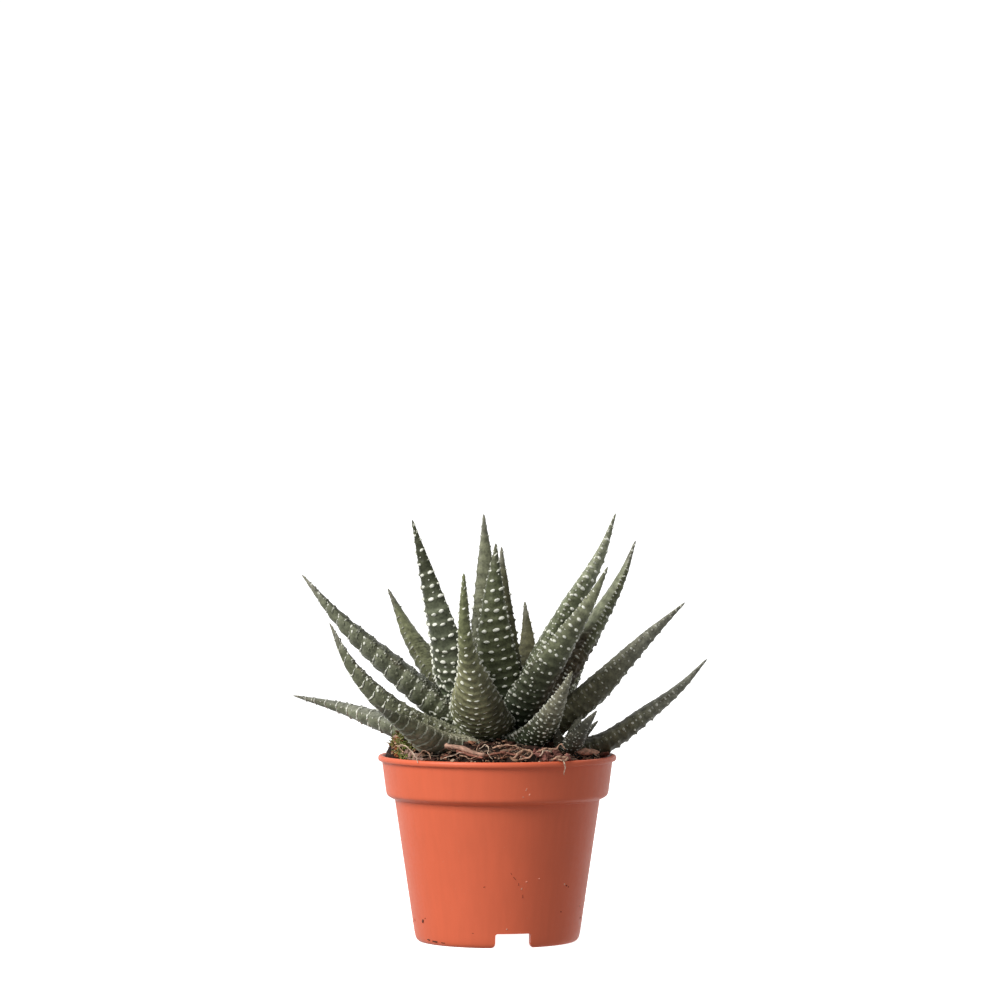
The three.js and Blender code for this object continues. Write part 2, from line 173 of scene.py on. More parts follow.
POT_COLOUR = (0.76, 0.143, 0.062)
POT_DUST = (0.60, 0.30, 0.20)
OLIVE = (0.120, 0.128, 0.066)
LIGHT_OLIVE = (0.190, 0.200, 0.115)
GREY_GREEN = (0.125, 0.132, 0.086)
BLOOM = (0.25, 0.27, 0.17)
DUST_GREY = (0.40, 0.38, 0.29)
# Painted shade on the leaves' flanks, away from the light
SHADE_BROWN = (0.066, 0.064, 0.037)
# Painted shade low on the leaves, among the others
SHADED_FOOT_GREEN = (0.036, 0.052, 0.030)
TIP_GREY = (0.190, 0.185, 0.148)
DRIED = (0.125, 0.094, 0.062)
EDGE_BROWN = (0.090, 0.070, 0.036)
CREAM = (0.92, 0.93, 0.83)
STEM_TONE = (0.14, 0.10, 0.055)
PEAT = (0.024, 0.012, 0.0078)
BARK_TONES = (
    (0.34, 0.20, 0.13), (0.17, 0.075, 0.050), (0.25, 0.095, 0.065), (0.075, 0.034, 0.024),
    (0.46, 0.32, 0.23), (0.12, 0.060, 0.036), (0.30, 0.13, 0.075),
)
RED_BARK = (0.24, 0.10, 0.08)
RIM_BARK = (0.54, 0.31, 0.22)
GRIT_TONE = (0.50, 0.33, 0.27)
ROOT_TONES = ((0.47, 0.29, 0.20), (0.30, 0.15, 0.10), (0.60, 0.46, 0.35), (0.24, 0.10, 0.07))
MOSS_GREENS = ((0.20, 0.24, 0.05), (0.13, 0.17, 0.034), (0.30, 0.34, 0.09), (0.40, 0.38, 0.18))
MOSS_BROWNS = ((0.32, 0.15, 0.07), (0.22, 0.12, 0.05), (0.44, 0.30, 0.18), (0.30, 0.29, 0.10))
SCRAP_TONES = ((0.36, 0.12, 0.045), (0.24, 0.09, 0.045), (0.50, 0.34, 0.22))
DIRT_BROWN = (0.095, 0.030, 0.018)
DIRT_RED = (0.30, 0.055, 0.028)
SCUFF = (0.92, 0.42, 0.30)

# ---------------------------------------------------------------- tables

# Each leaf in millimetres, as in the part's source: height of its foot, width, and points from there to
# the tip
LEAVES = {
    "leaf_front": (71, 23, [(-6, -20, 80), (-8.5, -38, 95), (-11.2, -50, 110), (-11.5, -55, 132)]),
    "leaf_front_short": (70, 17, [(13.5, -20, 74), (21, -37, 86.5), (26, -45, 98)]),
    "leaf_front_left_low": (70, 22, [(-20, -16, 70.5), (-32, -33, 78.5), (-42.5, -45, 86)]),
    "leaf_front_right": (73, 21, [(11, -14, 87), (24, -27, 108), (32.8, -31, 122), (38.6, -32, 133.7)]),
    "leaf_front_left": (74, 21, [(-12.5, -11, 86), (-18.3, -24, 107), (-24.5, -29, 130), (-29.7, -30, 150)]),
    "leaf_centre": (77, 19, [(0, -5, 90), (-1.4, -9, 114), (-0.5, -10, 141.5)]),
    "leaf_left": (72, 22, [(-17.5, -7, 81.2), (-38.5, -13, 99), (-55.8, -15, 115), (-69, -14, 130.5)]),
    "leaf_left_low": (70.5, 20, [(-19, -10, 73.5), (-36, -21, 82.7), (-51, -30, 99), (-58.6, -30, 114)]),
    "leaf_far_left_low": (69.5, 18, [(-18, 3, 69.5), (-38, 11, 75.8), (-56, 22, 81.4), (-74, 28, 85.6)]),
    "leaf_right_tall": (76, 21, [(13, -2, 93), (25.4, -4, 117), (36.5, -5, 137), (42, -5, 152)]),
    "leaf_right_back": (74, 20, [(18, 5, 87), (32.6, 11, 108), (44.3, 14, 128), (49.7, 15, 142)]),
    "leaf_right": (72, 21, [(20, -4, 77), (37, -9, 92), (54, -12, 109.2), (66.3, -12, 120.6)]),
    "leaf_right_low": (69, 18, [(22, 1, 67), (36, 2, 69), (54.8, 4, 81.5), (66, 4, 90.5), (74.8, 4, 99.9)]),
    "leaf_centre_right": (79, 13, [(2.8, 2, 102), (2.1, 2, 120), (1.5, 2, 140)]),
    "leaf_back_tall": (78, 18, [(-3, 8, 98), (-4.1, 14, 124), (-4.9, 18, 151.5)]),
    "leaf_back_left": (75, 20, [(-15.5, 11, 87), (-30, 22, 105), (-39.7, 28, 124.5)]),
    "leaf_back_short": (75, 14, [(9, 17, 90), (11, 30, 104), (10, 36, 119.5)]),
    "leaf_back_steep": (76, 18, [(-3, 16, 90), (-5, 32, 108), (-4.5, 42, 127)]),
    "leaf_back_left_steep": (74, 17, [(-9, 15, 86), (-18, 29, 99), (-21, 35, 112.5)]),
    "leaf_back": (72, 21, [(2, 18, 80), (2, 41, 95), (2, 55.5, 117)]),
    "leaf_back_right": (72, 20, [(14, 15, 80), (26, 37, 91), (34, 52, 106)]),
    "leaf_back_far_right": (71, 19, [(19, 11, 76), (38, 24, 88), (52, 35, 102)]),
    "leaf_back_far_left": (71, 20, [(-9, 16, 77), (-22, 37, 88), (-31, 52, 102)]),
    "leaf_back_left_low": (70, 16, [(-14, 12, 71), (-29, 27, 74.5), (-42, 38, 82)]),
    "leaf_back_low": (69.5, 17, [(4, 19, 69.5), (8, 38, 73), (12, 54, 84)]),
    "leaf_back_right_low": (69, 15, [(18, 7, 68.5), (34, 14, 69), (53, 22, 80)]),
    "leaf_heart": (79, 9, [(3, 6, 98), (3, 8, 118)]),
}
OFFSET_LEAVES = {
    "offset_leaf_front": (68.5, 9.5, [(28.5, -26, 74.5), (34.8, -31, 83.5)]),
    "offset_leaf_right": (68.5, 6.5, [(29.5, -21, 73), (35.5, -22, 79.5)]),
    "offset_leaf_back": (68.5, 7, [(27, -13, 74), (30, -10, 82)]),
    "offset_leaf_left": (68.5, 6, [(21, -23, 74), (19.5, -25, 80)]),
}

# How a leaf is marked. Sizes in millimetres; shares are of its length, from foot to tip; turns go round its
# section in radians, 0 to pi over the outer face and pi to 2 pi over the inner one.
# waist: how far the leaf's middle is drawn in
# pitch, low_pitch: between rows of tubercles, near the tip and near the foot
# spacing, low_spacing: between tubercles in a row, likewise
# dot: half length of the largest ones; bars: shares of the length between which they are thin and long
# bar, bar_width: half length and half width of those
# chain: share of the length, below which each row is a zigzag ridge with knots on it
# cross: rows are thin ridges over the middle of the outer face, between swollen steps
# line_ends: how far from the outer face's first and second edge the cross ridges end, in turns
# between: chance of a smaller tubercle between two rows; even: how alike in size and evenly set they are
# arch: how far the middle of a row lies towards the foot, and tilt: how far its left end does, in pitches
# ridge: how far the skin rises at a row; tooth: half width of the ones at the turns in teeth
# white: from the leaf's colour to cream; dim: share of that lost near the foot, as painted shade
# tone, inner_tone: of the outer and inner face; foot_tone: of both below foot_to, painted shade among the
# other leaves where dark, dust where pale; tip_tone: above tip_from
# flank: (from, to) turns of the side that faces away from the light, where flank_shade_tone and duller marks
# are painted shade
# inner: what marks the inner face; dried: (from, to) shares of the length that have dried brown
# dusty: how much grey dust lies on it low down
PLAIN_LOOK = dict(waist=0, pitch=4.6, low_pitch=3.0, spacing=2.8, low_spacing=2.4, dot=0.80, bars=(0.0, 0.3),
    bar=0.95, bar_width=0.34, chain=0.16, cross=False, between=0.25, even=0.0, arch=0.15, tilt=0.0,
    ridge=0.34, tooth=0.46, teeth=(0.0, math.pi), white=1.0, dim=0.0, tone=OLIVE, inner_tone=OLIVE,
    foot_tone=SHADED_FOOT_GREEN, foot_to=0.42, tip_tone=TIP_GREY, tip_from=0.84, flank=None,
    flank_shade_tone=SHADE_BROWN, inner="dots", dried=None, dusty=0.0)
LOOK_SIZES = ("pitch", "low_pitch", "spacing", "low_spacing", "dot", "bar", "bar_width", "ridge", "tooth")
# A leaf mostly in painted shade: its flank runs nearly all the way round, and its marks are duller.
DULL_AND_SHADED = dict(pitch=3.8, dot=0.52, bars=None, chain=0, ridge=0.5, white=0.75, tip_from=0.5, flank=(0.2, 4.8))
CROSS = dict(spacing=1.9, dot=0.56, bars=None, chain=0.3, cross=True, arch=0.42, line_ends=(0.62, 0.62))

LOOKS = {
    "leaf_front": dict(waist=0.45, pitch=3.4, low_pitch=2.5, spacing=2.6, low_spacing=2.9, dot=0.76,
        bars=(0.16, 0.5), bar=0.95, bar_width=0.27, chain=0, between=0.3, arch=0.5, ridge=0.42, white=0.85,
        tone=(0.25, 0.25, 0.14), inner_tone=LIGHT_OLIVE, foot_tone=(0.042, 0.064, 0.034), foot_to=0.45,
        tip_tone=(0.15, 0.168, 0.08), tip_from=0.5, flank=(-0.3, 0.95)),
    "leaf_front_short": dict(pitch=2.6, low_pitch=2.2, spacing=1.7, low_spacing=1.8, dot=0.6, bars=None,
        chain=0, between=0.3, ridge=0.24, white=0.72, dim=0.45, tone=(0.054, 0.068, 0.037),
        tip_tone=(0.3, 0.285, 0.205), tip_from=0.4),
    "leaf_front_left_low": dict(CROSS, pitch=4, low_pitch=3.6, dot=0.36, chain=0, arch=0.12, ridge=0.24,
        tooth=0.38, teeth=(-1.15, math.pi + 1.15), white=0.2, tone=(0.104, 0.11, 0.06),
        inner_tone=(0.09, 0.092, 0.052), foot_tone=(0.37, 0.36, 0.25), foot_to=1, dusty=0.9,
        line_ends=(-0.35, 0.9)),
    "leaf_front_right": dict(pitch=3.7, low_pitch=2.9, spacing=2.5, low_spacing=2.2, dot=0.8,
        bars=(0, 0.1), chain=0, dim=0.4, tone=(0.148, 0.16, 0.096), foot_tone=(0.012, 0.025, 0.016),
        foot_to=0.62, tip_tone=(0.265, 0.275, 0.175), tip_from=0.52, flank=(0.3, 1.55),
        flank_shade_tone=(0.13, 0.105, 0.075)),
    "leaf_front_left": dict(pitch=4.4, low_pitch=3, spacing=2.5, dot=0.92, bars=None, chain=0.38,
        between=0.3, even=1, ridge=0.45, teeth=(0, 2.45, math.pi), tone=(0.118, 0.132, 0.084),
        foot_tone=(0.108, 0.158, 0.094), tip_tone=(0.046, 0.05, 0.026), tip_from=0.6),
    "leaf_centre": dict(pitch=3.5, low_pitch=3.3, spacing=3.1, low_spacing=3.1, dot=0.98, bars=(0, 0.5),
        bar=1.1, bar_width=0.52, chain=0, between=0.1, even=1, tilt=0.2, tone=(0.106, 0.118, 0.062),
        inner_tone=(0.106, 0.118, 0.062), foot_tone=(0.082, 0.108, 0.06), tip_tone=(0.135, 0.14, 0.092)),
    "leaf_left": dict(CROSS, pitch=5.9, low_pitch=4.6, ridge=0.7, tone=(0.176, 0.188, 0.126),
        inner_tone=(0.1, 0.106, 0.072), foot_tone=(0.124, 0.142, 0.086)),
    "leaf_left_low": dict(CROSS, pitch=5.2, low_pitch=4.4, chain=0, ridge=0.5, tone=(0.15, 0.16, 0.102),
        inner_tone=(0.115, 0.114, 0.09), foot_tone=(0.32, 0.33, 0.21), foot_to=0.9, line_ends=(0.45, 0.45)),
    "leaf_far_left_low": dict(CROSS, pitch=5.2, low_pitch=4.9, chain=0, arch=0.12, ridge=0.34,
        tone=(0.2, 0.212, 0.148), inner_tone=(0.205, 0.212, 0.165), foot_tone=(0.15, 0.158, 0.115),
        line_ends=(-1.6, 0.9)),
    "leaf_right_tall": dict(pitch=3.9, low_pitch=2.7, spacing=2.1, low_spacing=1.9, dot=0.88,
        bars=(0, 0.1), between=0.6, tone=(0.182, 0.204, 0.116), inner_tone=(0.19, 0.212, 0.126),
        tip_tone=(0.3, 0.312, 0.222), tip_from=0.58),
    "leaf_right_back": dict(pitch=3.2, low_pitch=3, spacing=2.2, dot=0.62, bars=(0, 0.1),
        tone=(0.16, 0.172, 0.092), inner_tone=(0.228, 0.244, 0.158), inner="bare", dried=(0.2, 0.5)),
    "leaf_right": dict(DULL_AND_SHADED, spacing=3.2, tone=(0.14, 0.136, 0.086), inner_tone=(0.145, 0.142, 0.092),
        foot_tone=(0.038, 0.04, 0.02), tip_tone=(0.285, 0.285, 0.225), flank_shade_tone=(0.092, 0.088, 0.05)),
    "leaf_right_low": dict(DULL_AND_SHADED, spacing=2.9, tone=(0.142, 0.138, 0.086), inner_tone=(0.145, 0.142, 0.09),
        foot_tone=(0.022, 0.021, 0.013), tip_tone=(0.29, 0.29, 0.235), flank_shade_tone=(0.08, 0.074, 0.044)),
    "leaf_centre_right": dict(spacing=2.6, dot=0.6, tone=(0.135, 0.142, 0.09),
        inner_tone=(0.135, 0.132, 0.078), inner="bare"),
    "leaf_back_tall": dict(dot=0.5, tone=GREY_GREEN, inner_tone=(0.262, 0.272, 0.176),
        foot_tone=(0.026, 0.029, 0.016), foot_to=1.1, inner="ribbed"),
    "leaf_back_left": dict(dot=0.45, white=0.5, tone=(0.185, 0.196, 0.106),
        inner_tone=(0.212, 0.224, 0.124), foot_tone=(0.03, 0.032, 0.014), foot_to=0.85, inner="ribbed"),
    "leaf_back_short": dict(inner_tone=(0.175, 0.168, 0.092), inner="bare"),
}
OFFSET_LOOK = dict(pitch=2, low_pitch=1.6, spacing=1.4, low_spacing=1.3, dot=0.36, bars=None, chain=0,
                   ridge=0.14, tooth=0.3, white=0.7, tone=(0.088, 0.088, 0.066),
                   inner_tone=(0.088, 0.088, 0.066), foot_tone=(0.036, 0.04, 0.024), tip_from=0.6)

# Ridges along rows, in millimetres: ends from the edges in turns, or None for the look's own, then
# stretch, gap, half width, height and whiteness
CHAIN_LINE = ((0.1, 0.1), (2.5, 6.0), (0.3, 1.2), 0.56, 0.42, 0.36)
CROSS_LINE = (None, (2.6, 8.0), (0.1, 0.5), 0.34, 0.64, 0.9)
BROKEN_LINE = (None, (0.8, 2.4), (0.2, 0.7), 0.42, 0.62, 0.8)
LINE_SECTION = ((-1.0, -0.2), (-0.6, 0.6), (0.0, 1.0), (0.6, 0.6), (1.0, -0.2), (0.0, -0.6))
DOME_SIDES = 11
DOME_RINGS = ((1.0, -0.12), (0.84, 0.55), (0.5, 0.9))  # share of the half width, share of the height
DOME_ENDS = ((0, 0, -0.35), (0, 0, 1))

# The roots and bark curls that show at the front: tone, radius, points that each runs through, in
# millimetres
FRONT_ROOTS = (
    (2, 0.22, [(-19.9, -33.5, 66.7), (-13.7, -35, 68.5), (-11.6, -35, 69)]),
    (2, 0.26, [(-6.3, -33, 70), (-4.1, -33.5, 71.6), (-2.9, -34.5, 70.6), (-3.2, -35.5, 68.8),
               (-1.5, -36.5, 66.8)]),
    (0, 0.32, [(-1.5, -31, 70.5), (1.9, -32, 71.2), (6, -32, 71.3), (7.9, -33, 69.5)]),
    (0, 0.52, [(6, -36.5, 67), (8.5, -35, 69.7), (11.8, -34.5, 69.2), (11.2, -36.2, 67.4),
               (7.6, -37, 66.8)]),
    (1, 0.34, [(2, -35, 67.5), (5, -34, 69.8), (8.5, -33.5, 70.3)]),
    (0, 0.36, [(14, -33, 69), (17.5, -32.5, 70.3), (20.5, -31.5, 70), (22.2, -31, 71.6),
               (24, -30.5, 69.8)]),
    (2, 0.3, [(15, -34.5, 68), (16.5, -33.8, 69.6), (19, -33.5, 69)]),
    (0, 0.55, [(19, -36, 66.3), (21.2, -36.2, 67.5), (24.3, -34.5, 67.1), (23.8, -36, 66.4),
               (21.2, -36.8, 66.7)]),
    (2, 0.3, [(22.6, -35, 66.8), (23, -36.8, 65.8), (23.6, -36.6, 63.8), (22.9, -36.6, 62),
              (23.2, -36.5, 61.2)]),
    (2, 0.34, [(-35, -17, 70), (-33, -20, 70.6), (-30, -25, 69), (-28.5, -29.5, 67),
               (-27.6, -32.8, 65.2)]),
    (0, 0.3, [(-27.5, -25.5, 67), (-26.2, -27.5, 69), (-24, -28.8, 68.6), (-23.2, -31, 66.6)]),
    (0, 0.26, [(-33, -18.5, 68), (-35.2, -15, 70), (-37.2, -13, 69)]),
    (3, 0.09, [(-37.5, -13, 66.5), (-40.2, -14.5, 69.5), (-39.6, -15.5, 72.2)]),
    (3, 0.09, [(-36, -10, 69), (-39, -12, 71.2), (-40.8, -14, 70.4)]),
    (0, 0.1, [(-7.5, -33, 69), (-6, -34.5, 72.2), (-3, -35, 72.8)]),
    (0, 0.22, [(-13, -35, 68), (-9.5, -36, 67.2), (-6, -36.8, 68)]),
)

# The larger twigs, in millimetres: both ends, radius and tone
TWIGS = (
    ((-17.6, -31.2, 71.4), (-4.4, -36.5, 67.8), 0.78, (0.42, 0.25, 0.185)),
    ((-14, -33, 69.2), (-5, -36.8, 67.2), 0.44, (0.30, 0.12, 0.085)),
    ((1, -33, 69), (11, -36, 67), 0.42, (0.24, 0.10, 0.07)),
    ((-6, -34.5, 67.6), (3, -35, 69.2), 0.42, (0.28, 0.12, 0.08)),
    ((-33, 8, 67.5), (-25, 24, 68), 0.70, (0.34, 0.19, 0.13)),
    ((8, 35, 67.2), (24, 27, 68.2), 0.75, (0.38, 0.22, 0.15)),
    ((-18, 33, 67.8), (-6, 35, 67), 0.50, (0.40, 0.24, 0.17)),
)

# Marks on the outside of the pot, in millimetres: each one's x and z, length and width, then its lean in
# degrees and its tone
POT_MARKS = (
    (-26.2, 8.4, 1.5, 1.1, 60, DIRT_BROWN), (-25.4, 9.4, 0.7, 0.5, 20, DIRT_RED),
    (-24.2, 1.9, 1.9, 0.6, -14, DIRT_BROWN), (-22.0, 1.6, 2.9, 0.7, -6, DIRT_BROWN),
    (-19.0, 1.4, 1.8, 0.5, 0, DIRT_BROWN), (4.9, 26.6, 1.1, 0.22, -60, DIRT_RED),
    (6.0, 25.0, 1.4, 0.24, -50, DIRT_RED), (7.4, 22.8, 1.0, 0.25, 80, DIRT_RED),
    (8.5, 21.2, 0.9, 0.35, 60, SCUFF), (8.9, 18.6, 1.3, 0.24, 85, DIRT_RED),
    (10.2, 23.6, 0.6, 0.3, 10, SCUFF), (14.6, 24.6, 0.5, 0.3, 30, SCUFF),
    (23.6, 22.0, 0.8, 0.6, 40, SCUFF), (24.3, 21.4, 0.7, 0.5, 0, DIRT_BROWN),
    (25.0, 20.9, 0.6, 0.3, 70, DIRT_RED), (22.4, 12.2, 0.6, 0.4, 0, DIRT_RED),
    (-4.5, 21.9, 0.7, 0.3, 20, DIRT_RED), (3.3, 7.0, 0.6, 0.4, 0, SCUFF),
    (10.2, 56.6, 1.5, 0.3, 65, SCUFF), (11.2, 54.6, 0.9, 0.3, 50, SCUFF),
    (9.0, 53.8, 0.6, 0.3, 0, SCUFF), (-8.5, 5.4, 0.7, 0.25, 10, DIRT_RED),
)
BACK_MARKS = 26
MARK_THICKNESS = 0.16 * MM

# ---------------------------------------------------------------- meshes


def new_object(name, data):
    made = bpy.data.objects.new(name, data)
    bpy.context.scene.collection.objects.link(made)
    return made


def new_mesh(name, points, faces):
    mesh = bpy.data.meshes.new(name)
    mesh.from_pydata([tuple(p) for p in points], [], faces)
    return mesh


def new_piece(name, points, faces, slot, materials, tones=None, smooth=True):
    """A mesh object that rides on the plant's one body."""
    mesh = new_mesh(name, points, faces)
    for material in materials:
        mesh.materials.append(material)
    mesh.polygons.foreach_set("use_smooth", np.full(len(mesh.polygons), smooth))
    if tones is not None:
        layer = mesh.color_attributes.new("tone", "FLOAT_COLOR", "POINT")
        rgba = np.ones((len(points), 4), np.float32)
        rgba[:, :3] = tones
        layer.data.foreach_set("color", rgba.ravel())
    mesh.update()
    piece = new_object(name, mesh)
    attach(piece, BODY)
    return piece


class Heap:
    """Many small shapes gathered into one mesh."""

    def __init__(self):
        self.points = []
        self.faces = []
        self.tones = []
        self.kinds = []
        self.count = 0

    def add(self, points, faces, tone, kind=0):
        """A shape with one tone or one for each point. Its kind picks one of the mesh's materials."""
        points = np.asarray(points, float)
        self.points.append(points)
        self.faces += [tuple(i + self.count for i in face) for face in faces]
        self.tones.append(np.broadcast_to(np.asarray(tone, float), points.shape))
        self.kinds += [kind] * len(faces)
        self.count += len(points)

    def piece(self, name, slot, *materials, smooth=True):
        points = np.concatenate(self.points)
        made = new_piece(name, points, self.faces, slot, materials, np.concatenate(self.tones), smooth)
        made.data.polygons.foreach_set("material_index", np.array(self.kinds, np.int32))
        return made


def ring_quads(rings, sides):
    """Faces between one ring of points and the next."""
    faces = []
    for i in range(rings - 1):
        for k in range(sides):
            m = (k + 1) % sides
            faces.append((i * sides + k, i * sides + m, (i + 1) * sides + m, (i + 1) * sides + k))
    return faces


def closed_rings(rings, sides):
    """Those faces, and fans to the two points that follow the rings, one for each end."""
    faces = ring_quads(rings, sides)
    foot, last = rings * sides, (rings - 1) * sides
    for k in range(sides):
        m = (k + 1) % sides
        faces.append((foot, m, k))
        faces.append((foot + 1, last + k, last + m))
    return faces


def ripple(points, size, seed):
    """Smooth noise, mostly between -1 and 1, with features of about the given size."""
    draw = np.random.default_rng(seed)
    total = np.zeros(points.shape[:-1])
    for _ in range(7):
        direction = draw.normal(size=3)
        direction *= 2 * math.pi / size * draw.uniform(0.6, 1.3) / np.linalg.norm(direction)
        total += np.sin(points @ direction + draw.uniform(0, 2 * math.pi))
    return total / 3.5


def ripple_3d(points, size, seed):
    """Three such noises for each point, one for each direction."""
    return np.stack([ripple(points, size, seed + i) for i in range(3)], axis=1)


def smoothstep(value, low, high):
    t = np.clip((np.asarray(value, float) - low) / (high - low), 0, 1)
    return t * t * (3 - 2 * t)


def mix(a, b, share):
    share = np.asarray(share, float)[..., None]
    return np.asarray(a, float) * (1 - share) + np.asarray(b, float) * share


# ---------------------------------------------------------------- materials


def new_material(name, roughness, specular=0.5):
    material = bpy.data.materials.new(name)
    material.use_nodes = True
    shader = material.node_tree.nodes["Principled BSDF"]
    shader.inputs["Roughness"].default_value = roughness
    shader.inputs["Specular IOR Level"].default_value = specular
    return material, shader


class Nodes:
    """Short calls for the few kinds of node that the materials and the surroundings use."""

    def __init__(self, tree):
        self.tree = tree
        self.coords = tree.nodes.new("ShaderNodeTexCoord").outputs

    def feed(self, socket, value):
        """Link a socket to another one, or set it to a fixed value."""
        if isinstance(value, bpy.types.NodeSocket):
            self.tree.links.new(value, socket)
        elif socket.type == "RGBA":
            socket.default_value = (*value, 1)
        else:
            socket.default_value = value

    def made(self, kind, output, **inputs):
        """An output of a new node. In the names of its inputs _ stands for a space."""
        node = self.tree.nodes.new(kind)
        for name, value in inputs.items():
            self.feed(node.inputs[name.replace("_", " ")], value)
        return node.outputs[output]

    def noise(self, scale, detail=4.0, rough=0.55, stretch=None):
        at = self.coords["Object"]
        if stretch:
            at = self.made("ShaderNodeMapping", "Vector", Vector=at, Scale=stretch)
        return self.made("ShaderNodeTexNoise", "Fac", Vector=at, Scale=scale, Detail=detail, Roughness=rough)

    def span(self, value, low, high, to_low, to_high):
        ends = dict(From_Min=low, From_Max=high, To_Min=to_low, To_Max=to_high)
        return self.made("ShaderNodeMapRange", "Result", Value=value, **ends)

    def blend(self, kind, share, a, b):
        """Colours a and b by share. Each is a socket or a fixed value."""
        node = self.tree.nodes.new("ShaderNodeMix")
        node.data_type = "RGBA"
        node.blend_type = kind
        sockets = {s.identifier: s for s in (*node.inputs, *node.outputs)}
        for name, value in (("Factor_Float", share), ("A_Color", a), ("B_Color", b)):
            self.feed(sockets[name], value)
        return sockets["Result_Color"]

    def tone(self):
        node = self.tree.nodes.new("ShaderNodeAttribute")
        node.attribute_name = "tone"
        return node.outputs["Color"]

    def shaded(self, colour, factor):
        """A colour times a grey factor."""
        grey = self.made("ShaderNodeCombineColor", "Color", Red=factor, Green=factor, Blue=factor)
        return self.blend("MULTIPLY", 1.0, colour, grey)

    def grained(self, colour, noise, low, high):
        """A colour times a factor from low to high that follows a noise."""
        return self.shaded(colour, self.span(noise, 0.3, 0.7, low, high))

    def bump(self, height, strength, distance, shader):
        normal = self.made("ShaderNodeBump", "Normal", Height=height, Strength=strength, Distance=distance)
        self.feed(shader.inputs["Normal"], normal)


def leaf_skin():
    """Waxy skin: mottled, with a faint grey bloom and fine pores."""
    material, shader = new_material("leaf_skin", 0.5, 0.2)
    nodes = Nodes(material.node_tree)
    colour = nodes.grained(nodes.tone(), nodes.noise(420, 5), 0.66, 1.34)
    colour = nodes.grained(colour, nodes.noise(1300, 3), 0.78, 1.22)
    bloom = nodes.span(nodes.noise(1500, 3), 0.52, 0.72, 0.0, 0.13)
    nodes.feed(shader.inputs["Base Color"], nodes.blend("MIX", bloom, colour, BLOOM))
    nodes.feed(shader.inputs["Roughness"], nodes.span(nodes.noise(260, 3), 0.3, 0.7, 0.40, 0.62))
    nodes.bump(nodes.noise(2600, 3), 0.3, 0.12 * MM, shader)
    return material


def tubercle_skin():
    """Chalky white, a little uneven and soiled."""
    material, shader = new_material("tubercle_skin", 0.7, 0.35)
    nodes = Nodes(material.node_tree)
    stain = nodes.span(nodes.noise(900, 4), 0.3, 0.75, 1.06, 0.80)
    nodes.feed(shader.inputs["Base Color"], nodes.shaded(nodes.tone(), stain))
    nodes.bump(nodes.noise(3200, 2), 0.3, 0.1 * MM, shader)
    return material


def crumbly(name, roughness, scale, stretch=None, fixed_tone=None):
    """Soil, bark or root: its own tones or a fixed one, broken up by grain at one scale."""
    material, shader = new_material(name, roughness, 0.3)
    nodes = Nodes(material.node_tree)
    colour = nodes.grained(fixed_tone or nodes.tone(), nodes.noise(scale, 6, 0.65, stretch), 0.5, 1.45)
    nodes.feed(shader.inputs["Base Color"], colour)
    nodes.bump(nodes.noise(scale * 1.8, 5, 0.6, stretch), 0.6, 0.35 * MM, shader)
    return material


def terracotta_plastic():
    """Moulded plastic: satin, faintly streaked along the pull of the mould, with a little dust."""
    material, shader = new_material("terracotta_plastic", 0.52, 0.5)
    nodes = Nodes(material.node_tree)
    colour = nodes.grained(POT_COLOUR, nodes.noise(28, 3), 0.955, 1.045)
    colour = nodes.grained(colour, nodes.noise(60, 3, 0.5, (7, 7, 0.35)), 0.97, 1.02)
    dust = nodes.span(nodes.noise(1100, 5, 0.7), 0.62, 0.80, 0.0, 0.3)
    nodes.feed(shader.inputs["Base Color"], nodes.blend("MIX", dust, colour, POT_DUST))
    nodes.feed(shader.inputs["Roughness"], nodes.span(nodes.noise(700, 3), 0.3, 0.7, 0.47, 0.58))
    nodes.bump(nodes.noise(2400, 2), 0.10, 0.05 * MM, shader)
    return material


# ---------------------------------------------------------------- leaves


def knots_at(points, count):
    """At even places along points: the share passed since the last point, and the four points around."""
    points = np.vstack([2 * points[0] - points[1], points, 2 * points[-1] - points[-2]])
    spans = len(points) - 3
    place = np.linspace(0, spans, count)
    index = np.minimum(place.astype(int), spans - 1)
    return (place - index)[:, None], *(points[index + i] for i in range(4))


def spine(foot_z, path, stem, count):
    """Points up the middle of a leaf from the stem's surface: a centripetal Catmull-Rom curve."""
    side = path[0][:2] - (stem["x"], stem["y"])
    side *= (stem["radius"] + CLEARANCE) / np.linalg.norm(side)
    start = (stem["x"] + side[0], stem["y"] + side[1], foot_z)
    t, p0, p1, p2, p3 = knots_at(np.array([start, *path]), count)
    d0, d1, d2 = (np.linalg.norm(b - a, axis=1)[:, None] ** 0.5 for a, b in ((p0, p1), (p1, p2), (p2, p3)))
    leave = ((p1 - p0) / d0 - (p2 - p0) / (d0 + d1) + (p2 - p1) / d1) * d1
    arrive = ((p2 - p1) / d1 - (p3 - p1) / (d1 + d2) + (p3 - p2) / d2) * d1
    square = -3 * p1 + 3 * p2 - 2 * leave - arrive
    cube = 2 * p1 - 2 * p2 + leave + arrive
    return p1 + leave * t + square * t**2 + cube * t**3


